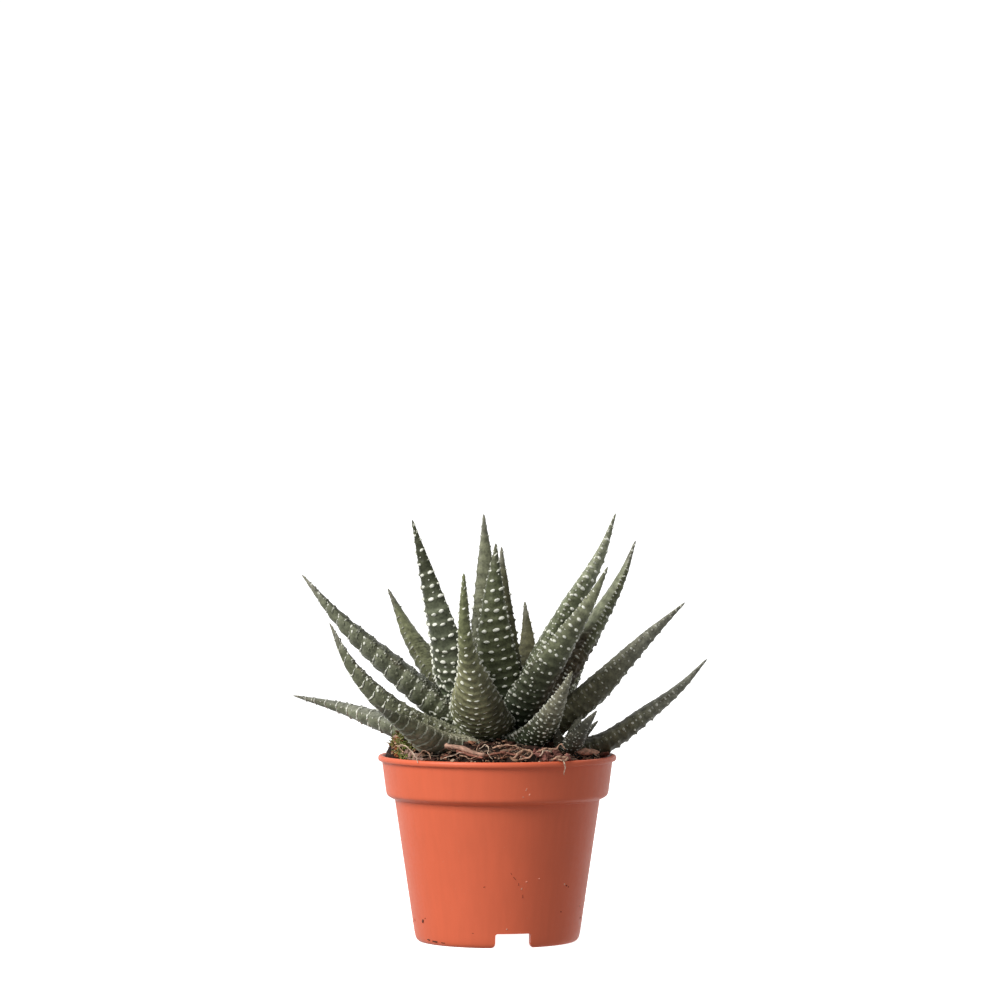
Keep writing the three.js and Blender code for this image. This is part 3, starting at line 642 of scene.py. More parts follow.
class Leaf:
    """A leaf's surface, by share s of its length and turn round its section.

    The outer face is at turns from 0 to pi, the inner face from pi to 2 pi.
    """

    def __init__(self, plan, stem, look, seed):
        foot_z, width, path = plan
        self.width = width * MM
        self.look = look
        self.seed = seed
        fine = spine(foot_z * MM, np.array(path) * MM, stem, 500)
        steps = np.linalg.norm(np.diff(fine, axis=0), axis=1)
        travelled = np.concatenate([[0], np.cumsum(steps)])
        self.length = travelled[-1]
        self.knots = np.linspace(0, 1, 301)
        even = self.knots * self.length
        self.centre = np.stack([np.interp(even, travelled, fine[:, i]) for i in range(3)], axis=1)
        along = np.gradient(self.centre, axis=0)
        along /= np.linalg.norm(along, axis=1)[:, None]
        end = fine[-1]
        level = np.array([stem["y"] - end[1], end[0] - stem["x"], 0.0])
        level /= np.linalg.norm(level)
        across = level - along * (along @ level)[:, None]
        across /= np.linalg.norm(across, axis=1)[:, None]
        self.across = across
        self.out = np.cross(across, along)
        self.rows = self.row_places()

    def row_places(self):
        """Shares of the length at which rows of tubercles lie, from tip to foot."""
        places = []
        s = 1 - FIRST_ROW / self.length
        while s > 0.02:
            places.append(s)
            near_tip = 0.6 + 0.4 * float(smoothstep(s, 1.0, 0.8))
            s -= self.by_height(s, "pitch") * near_tip / self.length
        return np.array(places)

    def by_height(self, s, name):
        """A look's size near the tip, blended into its size near the foot."""
        low = float(smoothstep(s, 0.55, 0.2))
        return self.look[name] * (1 - low) + self.look["low_" + name] * low

    def ripple(self, at, size, kind):
        """The leaf's own noise of one kind, its features of a size in millimetres."""
        return ripple(at, size * MM, self.seed + kind)

    def grown(self, s, share, full):
        """A factor for the size of marks: less by up to a share where the half width is below full."""
        return min(1, 1 - share + share * float(self.half(s)) / full)

    def along_spine(self, values, s):
        return np.stack([np.interp(s, self.knots, values[:, i]) for i in range(3)], axis=-1)

    def half(self, s):
        """Half width: a narrower neck, then a long taper to a rounded tip."""
        s = np.clip(s, 0, 1)
        drawn_in = smoothstep(s, 0.25, 0.7) * (1 - 0.5 * smoothstep(s, 0.75, 0.95))
        neck = (0.55 + 0.45 * smoothstep(s, 0, 0.18)) * (1 - self.look["waist"] * drawn_in)
        taper = neck * (1 - s**1.6) ** 1.15
        half = TIP_HALF_WIDTH + (self.width / 2 - TIP_HALF_WIDTH) * taper
        tip = 1 - TIP_ROUNDING / self.length
        return half * np.sqrt(np.clip(1 - ((s - tip) / (1 - tip)) ** 2 * (s > tip), 0, 1))

    def plain(self, s, turn):
        """The surface without its relief."""
        half = self.half(s)
        depth = half * (0.62 + 0.4 * s)
        a = np.cos(turn)
        rise = np.sin(turn)
        keel = 0.05 * smoothstep(s, 0.1, 0.6) * np.exp(-((a / 0.3) ** 2))
        o = np.where(rise > 0, rise - EDGE_DROP + keel, -EDGE_DROP - INNER_SWELL * np.abs(rise) ** 1.4)
        return (
            self.along_spine(self.centre, s)
            + self.along_spine(self.across, s) * (a * half)[..., None]
            + self.along_spine(self.out, s) * (o * depth)[..., None]
        )

    def normal(self, s, turn):
        e, r = 2e-3, 1e-2
        low, high = np.clip(s - e, 0, 0.995), np.clip(s + e, 0, 0.999)
        by_s = self.plain(high, turn) - self.plain(low, turn)
        middle = np.clip(s, 0, 0.99)
        by_turn = self.plain(middle, turn + r) - self.plain(middle, turn - r)
        normal = np.cross(by_s, by_turn)
        return normal / np.maximum(np.linalg.norm(normal, axis=-1), 1e-12)[..., None]

    def row_shift(self, turn):
        """How far a row lies towards the foot at a turn, as a share of the leaf's length."""
        outer = np.where(np.sin(turn) > 0, np.sin(turn) ** 2, 0)
        shift = self.look["arch"] * (outer - 0.5) - self.look["tilt"] * np.cos(turn)
        return shift * self.look["pitch"] / self.length

    def row_phase(self, s, turn):
        """Rows passed from the tip, so that whole numbers are rows of tubercles."""
        return np.interp(-(s + self.row_shift(turn)), -self.rows, np.arange(len(self.rows)))

    def relief(self, s, turn, at):
        """How far the surface stands out: raised at rows, ribbed or dried, and a little uneven."""
        size = np.minimum(1, self.half(s) / FULL_HALF_WIDTH)
        phase = self.row_phase(s, turn)
        face = 0.3 + 0.7 * smoothstep(np.sin(turn), -0.6, 0.1)
        if self.look["cross"]:
            step = phase - np.floor(phase)
            swell = np.where(step < 0.3, step / 0.3, (1 - step) / 0.7)
            rise = np.sin(0.5 * math.pi * swell) - 0.7
        else:
            rise = np.exp(-((np.sin(math.pi * phase) / 0.55) ** 2)) - 0.4
        uneven = 0.11 * MM * self.ripple(at, 3.5, 0) + 0.08 * MM * self.ripple(at, 1.2, 1)
        total = rise * self.look["ridge"] * face + uneven
        if self.look["inner"] == "ribbed":
            total = total + 0.32 * MM * self.rib(s, turn, at)
        total = total + self.dried(s, turn) * 0.6 * MM * self.ripple(at, 2.0, 3)
        return total * size

    def rib(self, s, turn, at):
        """Fine broken ribs across the inner face below its smooth end, from -1 to 1."""
        drift = 3.0 * self.ripple(at, 6, 2) + 1.2 * self.ripple(at, 2, 7)
        broken = smoothstep(self.ripple(at, 1.7, 6), -0.6, 0.6)
        inner = smoothstep(np.sin(turn), 0.15, -0.2) * smoothstep(s, 0.9, 0.6)
        lumps = 0.6 + 0.4 * np.sin(13 * turn + drift)
        return np.sin(2 * math.pi * s * self.length / (1.5 * MM) + drift) * broken * lumps * inner

    def dried(self, s, turn):
        if self.look["dried"] is None:
            return np.zeros(np.broadcast(s, turn).shape)
        low, high = self.look["dried"]
        edge = 0.05 * np.sin(3 * turn)
        return smoothstep(s + edge, low - 0.05, low + 0.04) * smoothstep(s + edge, high + 0.06, high - 0.06)

    def surface(self, s, turn):
        at = self.plain(s, turn)
        return at + self.normal(s, turn) * self.relief(s, turn, at)[..., None]

    def tone(self, s, turn, at):
        """The skin's colour before its fine mottling, with shade painted on the flank, in the grooves and at
        the foot.
        """
        inner = smoothstep(np.sin(turn), 0.1, -0.25)
        tone = mix(self.look["tone"], self.look["inner_tone"], inner)
        foot_to, tip_from = self.look["foot_to"], self.look["tip_from"]
        worn = smoothstep(self.ripple(at, 9, 4), 0, 0.9)
        settled = smoothstep(self.ripple(at, 3.2, 8) + 0.5 * self.ripple(at, 1.1, 9), -0.2, 1.1)
        # Painted shade where the foot tone is dark, dust where it is pale.
        tone = mix(tone, self.look["foot_tone"], 0.85 * smoothstep(s, foot_to, 0.1 * foot_to))
        tone = mix(tone, self.look["tip_tone"], 0.8 * smoothstep(s, tip_from, 0.4 * tip_from + 0.6))
        # Painted shade: the side away from the light is darker and browner.
        tone = mix(tone, self.look["flank_shade_tone"], 0.85 * self.flank(s, turn))
        tone = mix(tone, EDGE_BROWN, 0.6 * smoothstep(np.abs(np.sin(turn)), 0.30, 0.02) * worn)
        tone = mix(tone, DRIED, 0.92 * self.dried(s, turn))
        tone = mix(tone, DUST_GREY, self.look["dusty"] * settled * smoothstep(s, 0.9, 0.3))
        phase = self.row_phase(s, turn)
        # Painted shade in the grooves between rows and between ribs, lighter on the raised rows.
        groove_shade = 1 - 0.25 * np.abs(np.sin(math.pi * phase)) ** 3
        if self.look["cross"]:
            groove_shade = 1.08 - 0.2 * (phase - np.floor(phase))
        if self.look["inner"] == "ribbed":
            groove_shade = groove_shade * (1 + 0.32 * self.rib(s, turn, at))
        patch = 1 + 0.16 * self.ripple(at, 12, 5)
        return tone * (groove_shade * patch)[..., None]

    def painted_foot_shade(self, s):
        """Painted shade: how much darker everything is at the foot, where the other leaves shade it."""
        return 1 - 0.5 * smoothstep(s, 0.24, 0.04)

    def flank(self, s, turn):
        """1 low down on the side that faces away from the light, where its shade is painted in, 0 elsewhere.
        """
        if self.look["flank"] is None:
            return np.zeros(np.broadcast(s, turn).shape)
        first, last = self.look["flank"]
        turn = np.mod(turn + 1, 2 * math.pi) - 1
        band = smoothstep(turn, first - 0.2, first + 0.2) * smoothstep(turn, last + 0.3, last - 0.3)
        return band * smoothstep(s, 0.62, 0.35)

    def whiteness(self, s, turn):
        """The share of their white that marks keep: less on the flank and near the foot, where shade is
        painted in, and less where dried.
        """
        kept = (1 - 0.65 * float(self.flank(s, turn))) * (1 - 0.8 * float(self.dried(s, turn)))
        # Marks near the foot are dimmed as painted shade.
        return kept * (1 - self.look["dim"] * float(smoothstep(s, 0.55, 0.2)))

    def rates(self, s, turn):
        """Metres along the leaf and round it for one unit of s and of turn."""
        e = 1e-3
        along = np.linalg.norm(self.plain(s + e, turn) - self.plain(s - e, turn), axis=-1) / (2 * e)
        around = np.linalg.norm(self.plain(s, turn + e) - self.plain(s, turn - e), axis=-1) / (2 * e)
        return along, np.maximum(around, 0.35 * self.half(s))


def leaf_body(leaf):
    """The skin as a closed grid: rings along the leaf, one foot point and one tip point."""
    rings = max(50, round(leaf.length / LEAF_RING_STEP))
    sides = LEAF_SIDES if leaf.width > SLIM_LEAF_WIDTH else SLIM_LEAF_SIDES
    s = np.linspace(0, 1, rings + 1)[:-1]
    turn = np.arange(sides) * 2 * math.pi / sides
    s_grid, turn_grid = np.meshgrid(s, turn, indexing="ij")
    grid = leaf.surface(s_grid, turn_grid)
    # The skin's tones, darkened at the foot by painted shade.
    tones = leaf.tone(s_grid, turn_grid, grid) * leaf.painted_foot_shade(s_grid)[..., None]
    points = np.vstack([grid.reshape(-1, 3), leaf.centre[0], leaf.centre[-1]])
    tones = np.vstack([tones.reshape(-1, 3), tones[0].mean(0), tones[-1].mean(0)])
    faces = [face[:1] + face[:0:-1] for face in closed_rings(rings, sides)]
    return points, faces, tones


def marked_spans(look):
    """The turns between which a row has tubercles: first, last and their size to the outer face's."""
    if look["cross"]:
        return ()
    if look["inner"] == "dots":
        return ((0, math.pi, 1.0), (math.pi, 2 * math.pi, 0.7))
    return ((0, math.pi, 1.0),)


def cross_spots(leaf, s, draw):
    """The tubercles beyond the ends of a cross ridge: a large one first, then smaller and fainter ones."""
    look = leaf.look
    half = float(leaf.half(s))
    size = look["dot"] * leaf.grown(s, 0.45, FULL_HALF_WIDTH)
    pitch = leaf.by_height(s, "pitch") / leaf.length
    spots = []
    for mirrored, end in zip((False, True), look["line_ends"]):
        turn = end - 1.0 * MM / half
        first = True
        while turn > LAST_TURN:
            scale = size * (draw.uniform(0.85, 1.1) if first else draw.uniform(0.4, 0.75))
            white = draw.uniform(0.85, 1.0) if first else draw.uniform(0.1, 0.55)
            at_turn = math.pi - turn if mirrored else turn
            lower = draw.uniform(0.02, 0.2) if first else draw.uniform(-0.1, 0.7)
            at_s = s - leaf.row_shift(at_turn) - lower * pitch
            spots.append((at_s, at_turn, scale, scale * 0.85, 0.7 * scale, white))
            turn -= look["spacing"] * (1.0 if first else draw.uniform(0.5, 0.8)) / half
            first = False
        turn = end - 0.6 * MM / half
        while turn > LAST_TURN:
            at_turn = math.pi - turn if mirrored else turn
            at_s = s - leaf.row_shift(at_turn) - draw.uniform(0.35, 0.75) * pitch
            lump = LUMP_SIZE * draw.uniform(0.6, 1.1)
            spots.append((at_s, at_turn, lump, lump * 0.8, 0.6 * lump, draw.uniform(0, 0.14)))
            turn -= draw.uniform(1.0, 1.7) * MM / half
    return spots


def tooth_spots(leaf, s, draw):
    """The teeth of one row, each with a smaller one half a row lower."""
    pitch = leaf.by_height(s, "pitch") / leaf.length
    spots = []
    for turn in leaf.look["teeth"]:
        for lower in (0, 0.5):
            size = leaf.look["tooth"] * leaf.grown(s, 0.5, 4 * MM) * draw.uniform(0.6, 1.2)
            tooth = size * (1 - 0.5 * lower)
            at_s = s - leaf.row_shift(turn) - lower * pitch
            aside = turn + 0.08 * draw.uniform(-1, 1)
            # Teeth on the flank lose white as painted shade.
            white = draw.uniform(0.5, 1) * (1 - 0.4 * lower) * (1 - 0.65 * float(leaf.flank(s, turn)))
            spots.append((at_s, aside, tooth * 1.2, tooth, 1.1 * tooth, white))
    return spots


def span_spots(leaf, row, s, span, draw):
    """A row's tubercles over one face, and smaller ones between them and the next row."""
    look = leaf.look
    first, last, share = span
    outer = share == 1.0
    chained = outer and s < look["chain"]
    barred = outer and not chained and bool(look["bars"]) and look["bars"][0] <= s < look["bars"][1]
    pitch = leaf.by_height(s, "pitch") / leaf.length
    size = look["dot"] * leaf.grown(s, 0.45, FULL_HALF_WIDTH)
    loose = 1 - 0.6 * look["even"]
    arc = (last - first) * 0.76 * float(leaf.half(s))
    count = max(1, round(arc / (KNOT_SPACING if chained else leaf.by_height(s, "spacing"))))
    spots = []
    for k in range(count + 1):
        place = (k + 0.5 * (row % 2) + 0.25 * loose * draw.uniform(-1, 1)) / count
        if not 0.02 < place < 0.98 or draw.random() < 0.07 * loose:
            continue
        turn = first + (last - first) * place
        stray = 0.15 * draw.uniform(-1, 1) * pitch
        wave = chain_wave(leaf, row, turn) if chained else stray
        kept = leaf.whiteness(s, turn)
        scale = size * draw.uniform(0.62 + 0.26 * look["even"], 1.08) * share * (0.6 + 0.4 * kept)
        long = scale * draw.uniform(1.0, 1.3)
        wide = scale * draw.uniform(0.66, 0.85)
        white = draw.uniform(0.8, 1.0) * kept
        if barred:
            long = look["bar"] * draw.uniform(0.6, 1.15)
            wide = look["bar_width"] * draw.uniform(0.85, 1.15)
        if chained:
            long = wide = KNOT_SIZE * draw.uniform(0.7, 1.15)
        at_s = s - leaf.row_shift(turn)
        spots.append((at_s - wave, turn, long, wide, (0.95 if chained else 0.6) * wide, white))
        if not chained and draw.random() < look["between"]:
            small = size * draw.uniform(0.35, 0.6) * share
            aside = turn + 0.5 * draw.uniform(-1, 1) * (last - first) / count
            spots.append((at_s - 0.5 * pitch, aside, small, small * 0.8, 0.55 * small, 0.8 * white))
    return spots


def row_spots(leaf, row, s, draw):
    """One row's tubercles: s, turn, half length round the leaf, half width, height, whiteness of each."""
    spots = cross_spots(leaf, s, draw) if leaf.look["cross"] else []
    for span in marked_spans(leaf.look):
        spots += span_spots(leaf, row, s, span, draw)
    spots += tooth_spots(leaf, s, draw)
    return [spot for spot in spots if 0.01 < spot[0] < 1 - BARE_TIP / leaf.length]


def chain_wave(leaf, row, turn):
    """How far a zigzag ridge lies towards the foot at a turn, as a share of the length."""
    wave = 0.26 * np.sin(10 * turn + 2.1 * row) + 0.06 * np.sin(23 * turn + 3.7 * row)
    return wave * leaf.look["low_pitch"] / leaf.length


def domes(leaf, spots):
    """Domes that follow the skin: rings of points from a sunk rim to a top, closed underneath."""
    angle = -np.arange(DOME_SIDES) * 2 * math.pi / DOME_SIDES
    rings = [(share * math.cos(a), share * math.sin(a), rise) for share, rise in DOME_RINGS for a in angle]
    local = np.array([*rings, *DOME_ENDS])
    s, turn, long, wide, height, white = (spots[:, i][:, None] for i in range(6))
    along_rate, turn_rate = leaf.rates(s, turn)
    at_turn = turn + local[:, 0] * long / turn_rate
    along_row = leaf.row_shift(turn) - leaf.row_shift(at_turn)
    at_s = np.clip(s + local[:, 1] * wide / along_rate + along_row, 0, 0.999)
    points = leaf.surface(at_s, at_turn) + leaf.normal(at_s, at_turn) * (local[:, 2] * height)[..., None]
    tones = whitened(leaf, at_s, at_turn, points, white * (0.75 + 0.25 * smoothstep(local[:, 2], -0.1, 0.5)))
    one = closed_rings(len(DOME_RINGS), DOME_SIDES)
    faces = [tuple(i + n * len(local) for i in face) for n in range(len(spots)) for face in one]
    return points.reshape(-1, 3), faces, tones.reshape(-1, 3)


def whitened(leaf, s, turn, points, share):
    """The tubercles' colour: the skin's, whitened by a share, then darkened at the foot by painted shade."""
    skin = leaf.tone(s, turn, points)
    tone = mix(skin, CREAM, leaf.look["white"] * share * np.ones(skin.shape[:-1]))
    return tone * (leaf.painted_foot_shade(s) * np.ones(skin.shape[:-1]))[..., None]


def ridge_line(leaf, row, s, turns, size, white, wavy, draw):
    """A thin raised line along a row from one turn to another, fading out at both ends.

    Its size is its half width and height.
    """
    first, last = turns
    half_width, height = size
    arc = abs(last - first) * float(leaf.half(s))
    count = max(5, round(arc / RIDGE_STEP))
    t = np.linspace(0, 1, count + 1)
    turn = first + (last - first) * t
    wander = chain_wave(leaf, row, turn) if wavy else 0.12 * MM / leaf.length * np.sin(9 * turn + row)
    middle = s - leaf.row_shift(turn) - wander
    swell = (0.3 + 0.7 * np.sin(math.pi * t) ** 0.4) * (1 + 0.3 * np.sin(16 * turn + draw.uniform(0, 6)))
    off, rise = np.array(LINE_SECTION).T
    along_rate, _ = leaf.rates(middle, turn)
    at_s = np.clip(middle[:, None] + off * (swell * half_width / along_rate)[:, None], 0, 0.999)
    at_turn = np.broadcast_to(turn[:, None], at_s.shape)
    up = rise * (swell * height)[:, None]
    points = leaf.surface(at_s, at_turn) + leaf.normal(at_s, at_turn) * up[..., None]
    tones = whitened(leaf, at_s, at_turn, points, white * (0.6 + 0.4 * smoothstep(rise, -0.1, 0.8)))
    sides = len(LINE_SECTION)
    faces = ring_quads(count + 1, sides)
    faces.append(tuple(range(sides - 1, -1, -1)))
    faces.append(tuple(count * sides + k for k in range(sides)))
    return points.reshape(-1, 3), faces, tones.reshape(-1, 3)


def row_lines(leaf, row, s, draw):
    """The ridges of one row, in stretches."""
    look = leaf.look
    chained = s < look["chain"]
    if look["cross"] and s < 0.95:
        line = BROKEN_LINE if chained else CROSS_LINE
    elif chained:
        line = CHAIN_LINE
    else:
        return []
    ends, stretch, gap, half_width, height, white = line
    first_end, second_end = ends or look["line_ends"]
    end = math.pi - second_end
    half = float(leaf.half(s))
    grown = leaf.grown(s, 0.5, FULL_HALF_WIDTH) * MM
    size = (half_width * grown, height * grown)
    lines = []
    turn = first_end
    while turn < end - 0.1:
        last = min(end, turn + draw.uniform(*stretch) * MM / (0.8 * half))
        lines.append(ridge_line(leaf, row, s, (turn, last), size, white, chained, draw))
        turn = last + draw.uniform(*gap) * MM / (0.8 * half)
    return lines


def full_look(name):
    """A leaf's look over the plain one, with its sizes in metres."""
    look = {**PLAIN_LOOK, **(OFFSET_LOOK if name in OFFSET_LEAVES else LOOKS.get(name, {}))}
    return {key: value * MM if key in LOOK_SIZES else value for key, value in look.items()}


def make_leaf(name, plan, stem, seed, skin, chalk):
    """One leaf: its skin, and the tubercles and ridges that stand on it."""
    leaf = Leaf(plan, stem, full_look(name), seed)
    draw = random.Random(seed)
    heap = Heap()
    heap.add(*leaf_body(leaf), kind=0)
    spots = []
    for row, s in enumerate(leaf.rows):
        spots += row_spots(leaf, row, s, draw)
        for line in row_lines(leaf, row, s, draw):
            heap.add(*line, kind=1)
    heap.add(*domes(leaf, np.array(spots)), kind=1)
    piece = heap.piece(name + "_fine", "leaf", skin, chalk)
    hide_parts(name)


skin = leaf_skin()
chalk = tubercle_skin()
rosettes = ((LEAVES, MAIN_STEM, LEAF_SEED), (OFFSET_LEAVES, OFFSET_STEM, OFFSET_LEAF_SEED))
for plans, stem, first_seed in rosettes:
    for number, (name, plan) in enumerate(plans.items()):
        make_leaf(name, plan, stem, first_seed + LEAF_SEED_STEP * number, skin, chalk)

# ---------------------------------------------------------------- pot


def body_radius(z):
    share = (z - FOOT_ROUND_Z) / (STEP_Z - FOOT_ROUND_Z)
    return BODY_BOTTOM_RADIUS + share * (BODY_TOP_RADIUS - BODY_BOTTOM_RADIUS)


def band_radius(z):
    share = (z - BAND_BOTTOM_Z) / (POT_HEIGHT - LIP_HEIGHT - BAND_BOTTOM_Z)
    return BAND_BOTTOM_RADIUS + share * (BAND_TOP_RADIUS - BAND_BOTTOM_RADIUS)


def rounded(outline, steps=5):
    """A profile with each corner of (radius, z, rounding) drawn as a short curve."""
    made = []
    for i, (r, z, rounding) in enumerate(outline):
        corner = np.array((r, z))
        if rounding == 0 or i in (0, len(outline) - 1):
            made.append(corner)
            continue
        before = np.array(outline[i - 1][:2]) - corner
        after = np.array(outline[i + 1][:2]) - corner
        start = corner + before * min(0.5, rounding / np.linalg.norm(before))
        end = corner + after * min(0.5, rounding / np.linalg.norm(after))
        for t in np.linspace(0, 1, steps):
            made.append((1 - t) ** 2 * start + 2 * t * (1 - t) * corner + t * t * end)
    return made


def lathe(profile, sides):
    """Points and faces of a profile turned about Z, from axis to axis, facing out."""
    turn = np.arange(sides) * 2 * math.pi / sides
    circle = np.stack([np.cos(turn), np.sin(turn)], axis=1)
    rings = [np.column_stack([r * circle, np.full(sides, z)]) for r, z in profile[1:-1]]
    points = np.vstack([*rings, (0, 0, profile[0][1]), (0, 0, profile[-1][1])])
    return points, closed_rings(len(rings), sides)


def pot_profile():
    return rounded(
        [
            (0, BASE_Z, 0),
            (FOOT_RADIUS - FOOT_WALL, BASE_Z, 0.4 * MM),
            (FOOT_RADIUS - FOOT_WALL, 0, 0.3 * MM),
            (FOOT_RADIUS, 0, 0.5 * MM),
            (BODY_BOTTOM_RADIUS - 0.5 * MM, 0.9 * MM, 1.2 * MM),
            (BODY_BOTTOM_RADIUS, FOOT_ROUND_Z, 1.5 * MM),
            (BODY_TOP_RADIUS, STEP_Z, 0.3 * MM),
            (BAND_BOTTOM_RADIUS - 1.9 * MM, STEP_Z + 0.35 * MM, 0.9 * MM),
            (BAND_BOTTOM_RADIUS - 0.5 * MM, STEP_Z + 1.2 * MM, 0.8 * MM),
            (BAND_BOTTOM_RADIUS, BAND_BOTTOM_Z, 1.0 * MM),
            (BAND_TOP_RADIUS, POT_HEIGHT - LIP_HEIGHT - 0.3 * MM, 0.35 * MM),
            (LIP_RADIUS - 0.3 * MM, POT_HEIGHT - LIP_HEIGHT, 0.4 * MM),
            (LIP_RADIUS, POT_HEIGHT - LIP_HEIGHT * 0.45, 0.6 * MM),
            (LIP_RADIUS - 0.45 * MM, POT_HEIGHT, 0.5 * MM),
            (LIP_RADIUS - 1.5 * MM, POT_HEIGHT, 0.5 * MM),
            (BAND_TOP_RADIUS - WALL, POT_HEIGHT - 0.7 * MM, 0.6 * MM),
            (BAND_BOTTOM_RADIUS - WALL, BAND_BOTTOM_Z + WALL, 0.8 * MM),
            (BODY_TOP_RADIUS - WALL, STEP_Z + WALL, 0.8 * MM),
            (body_radius(SOIL_FLOOR_Z) - WALL, SOIL_FLOOR_Z, 0.5 * MM),
            (0, SOIL_FLOOR_Z, 0),
        ]
    )


def prism(outline, depth):
    """An outline of (x, z) points pushed along Y, centred on it."""
    count = len(outline)
    points = [(x, y, z) for y in (-depth / 2, depth / 2) for x, z in outline]
    faces = [tuple(range(count)), tuple(range(2 * count - 1, count - 1, -1))]
    for i in range(count):
        j = (i + 1) % count
        faces.append((j, i, i + count, j + count))
    return np.array(points), faces


def notch_outline():
    """A foot notch: its lower corners flare out and its upper ones are rounded in."""
    half = NOTCH_WIDTH / 2
    r = NOTCH_ROUND
    top = NOTCH_HEIGHT
    quarter = np.linspace(0, math.pi / 2, 7)
    right = [(half + r, -MM), (half + r, 0)]
    right += [(half + r - r * math.sin(a), r - r * math.cos(a)) for a in quarter[1:]]
    right += [(half - r / 2 + r / 2 * math.cos(a), top - r / 2 + r / 2 * math.sin(a)) for a in quarter]
    return right + [(-x, z) for x, z in reversed(right)]


def turned_about_z(points, angle):
    c, s = math.cos(angle), math.sin(angle)
    return np.asarray(points) @ np.array([(c, s, 0), (-s, c, 0), (0, 0, 1)])


def pot_cuts():
    """The shapes that the foot notches and the drain holes are cut with."""
    for i in range(NOTCHES):
        points, faces = prism(notch_outline(), NOTCH_DEPTH)
        points[:, 1] -= FOOT_RADIUS
        angle = math.radians(NOTCH_FIRST_DEG + i * 360 / NOTCHES) + math.pi / 2
        yield turned_about_z(points, angle), faces
    for i in range(DRAIN_HOLES):
        angle = (i + 0.5) * 2 * math.pi / DRAIN_HOLES
        low, high = (0, -DRAIN_CUT), (0, DRAIN_CUT)
        rim = [(DRAIN_HOLE_RADIUS, -DRAIN_CUT), (DRAIN_HOLE_RADIUS, DRAIN_CUT)]
        points, faces = lathe([low, *rim, high], DRAIN_SIDES)
        x, y = DRAIN_RING_RADIUS * math.cos(angle), DRAIN_RING_RADIUS * math.sin(angle)
        yield points + (x, y, BASE_Z), faces


def make_pot(material):
    pot = new_piece("pot_fine", *lathe(pot_profile(), POT_SIDES), "pot", [material])
    tools = [new_object("cutter", new_mesh("cutter", points, faces)) for points, faces in pot_cuts()]
    for tool in tools:
        cut = pot.modifiers.new("cut", "BOOLEAN")
        cut.operation = "DIFFERENCE"
        cut.solver = "EXACT"
        cut.object = tool
    mesh = bpy.data.meshes.new_from_object(pot.evaluated_get(bpy.context.evaluated_depsgraph_get()))
    pot.modifiers.clear()
    pot.data = mesh
    for tool in tools:
        bpy.data.objects.remove(tool)
    mesh.polygons.foreach_set("use_smooth", np.full(len(mesh.polygons), True))
    mesh.set_sharp_from_angle(angle=math.radians(POT_SHARP_DEG))
    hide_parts("pot")


make_pot(terracotta_plastic())

# ---------------------------------------------------------------- soil


def soil_top(x, y):
    """Height of the soil's top, as in the part's source."""
    radius = np.hypot(x, y)
    mound = 1 - smoothstep(radius, SOIL_MOUND_RADIUS * 0.45, SOIL_MOUND_RADIUS)
    u, v = x / MM, y / MM
    bumps = 0.5 * np.sin(0.55 * u + 1) * np.cos(0.6 * v) + 0.35 * np.sin(0.9 * v + 0.4 * u)
    heap = np.exp(-((np.hypot(x - SOIL_HEAP[0], y - SOIL_HEAP[1]) / SOIL_HEAP_SIZE) ** 2))
    return SOIL_RIM_Z + (SOIL_MOUND_Z - SOIL_RIM_Z) * mound + bumps * MM + SOIL_HEAP_HEIGHT * heap


def litter_top(x, y):
    """Height of the loose top layer."""
    radius = np.hypot(x, y)
    return soil_top(x, y) + LITTER_RISE * smoothstep(radius, SOIL_EDGE, LITTER_LEVEL_RADIUS)


def mottled(tone, points, depth, size, seed):
    """A tone for each point, made lighter and darker by a depth."""
    return np.array(tone) * (1 + depth * ripple(points, size, seed))[:, None]


def make_soil_bed(material):
    """The mix that fills the pot, its top broken into clods."""
    wall = WALL + CLEARANCE
    rim = band_radius(SOIL_RIM_Z) - wall
    radii = np.linspace(1.5 * MM, rim, SOIL_RINGS)[::-1]
    profile = [
        (0, SOIL_FLOOR_Z + CLEARANCE),
        (body_radius(SOIL_FLOOR_Z) - wall, SOIL_FLOOR_Z + CLEARANCE),
        (BODY_TOP_RADIUS - wall, STEP_Z + WALL + CLEARANCE),
        (BAND_BOTTOM_RADIUS - wall, BAND_BOTTOM_Z + WALL + CLEARANCE),
        *[(r, SOIL_RIM_Z) for r in radii],
        (0, SOIL_RIM_Z),
    ]
    points, faces = lathe(profile, SOIL_SIDES)
    top = points[:, 2] >= SOIL_RIM_Z - 1e-6
    x, y = points[top, 0], points[top, 1]
    flat = np.stack([x, y, 0 * x], axis=1)
    clods = 0.55 * ripple(flat, 6 * MM, 3) + 0.35 * ripple(flat, 2.6 * MM, 4)
    clods += 0.2 * ripple(flat, 1.1 * MM, 5)
    points[top, 2] = litter_top(x, y) + (clods - 0.7) * MM
    tones = mottled(PEAT, points, 0.35, 4 * MM, 6)
    bed = new_piece("soil_bed", points, faces, "soil", [material], tones)
    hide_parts("soil")


def frame_of(direction, up=(0, 0, 1)):
    """Three axes, the first along a direction, as the rows of a matrix."""
    a = np.asarray(direction, float)
    a = a / np.linalg.norm(a)
    b = np.cross(up, a)
    b /= np.linalg.norm(b)
    return np.array([a, b, np.cross(a, b)])


def tube(path, radii, sides):
    """A closed tube along points, with a radius at each."""
    path = np.asarray(path, float)
    turn = np.arange(sides) * 2 * math.pi / sides
    rings = []
    for centre, tangent, radius in zip(path, np.gradient(path, axis=0), radii):
        _, b, c = frame_of(tangent, (0.13, 0.21, 0.97))
        rings.append(centre + radius * (np.cos(turn)[:, None] * b + np.sin(turn)[:, None] * c))
    return np.vstack([*rings, path[0], path[-1]]), closed_rings(len(path), sides)


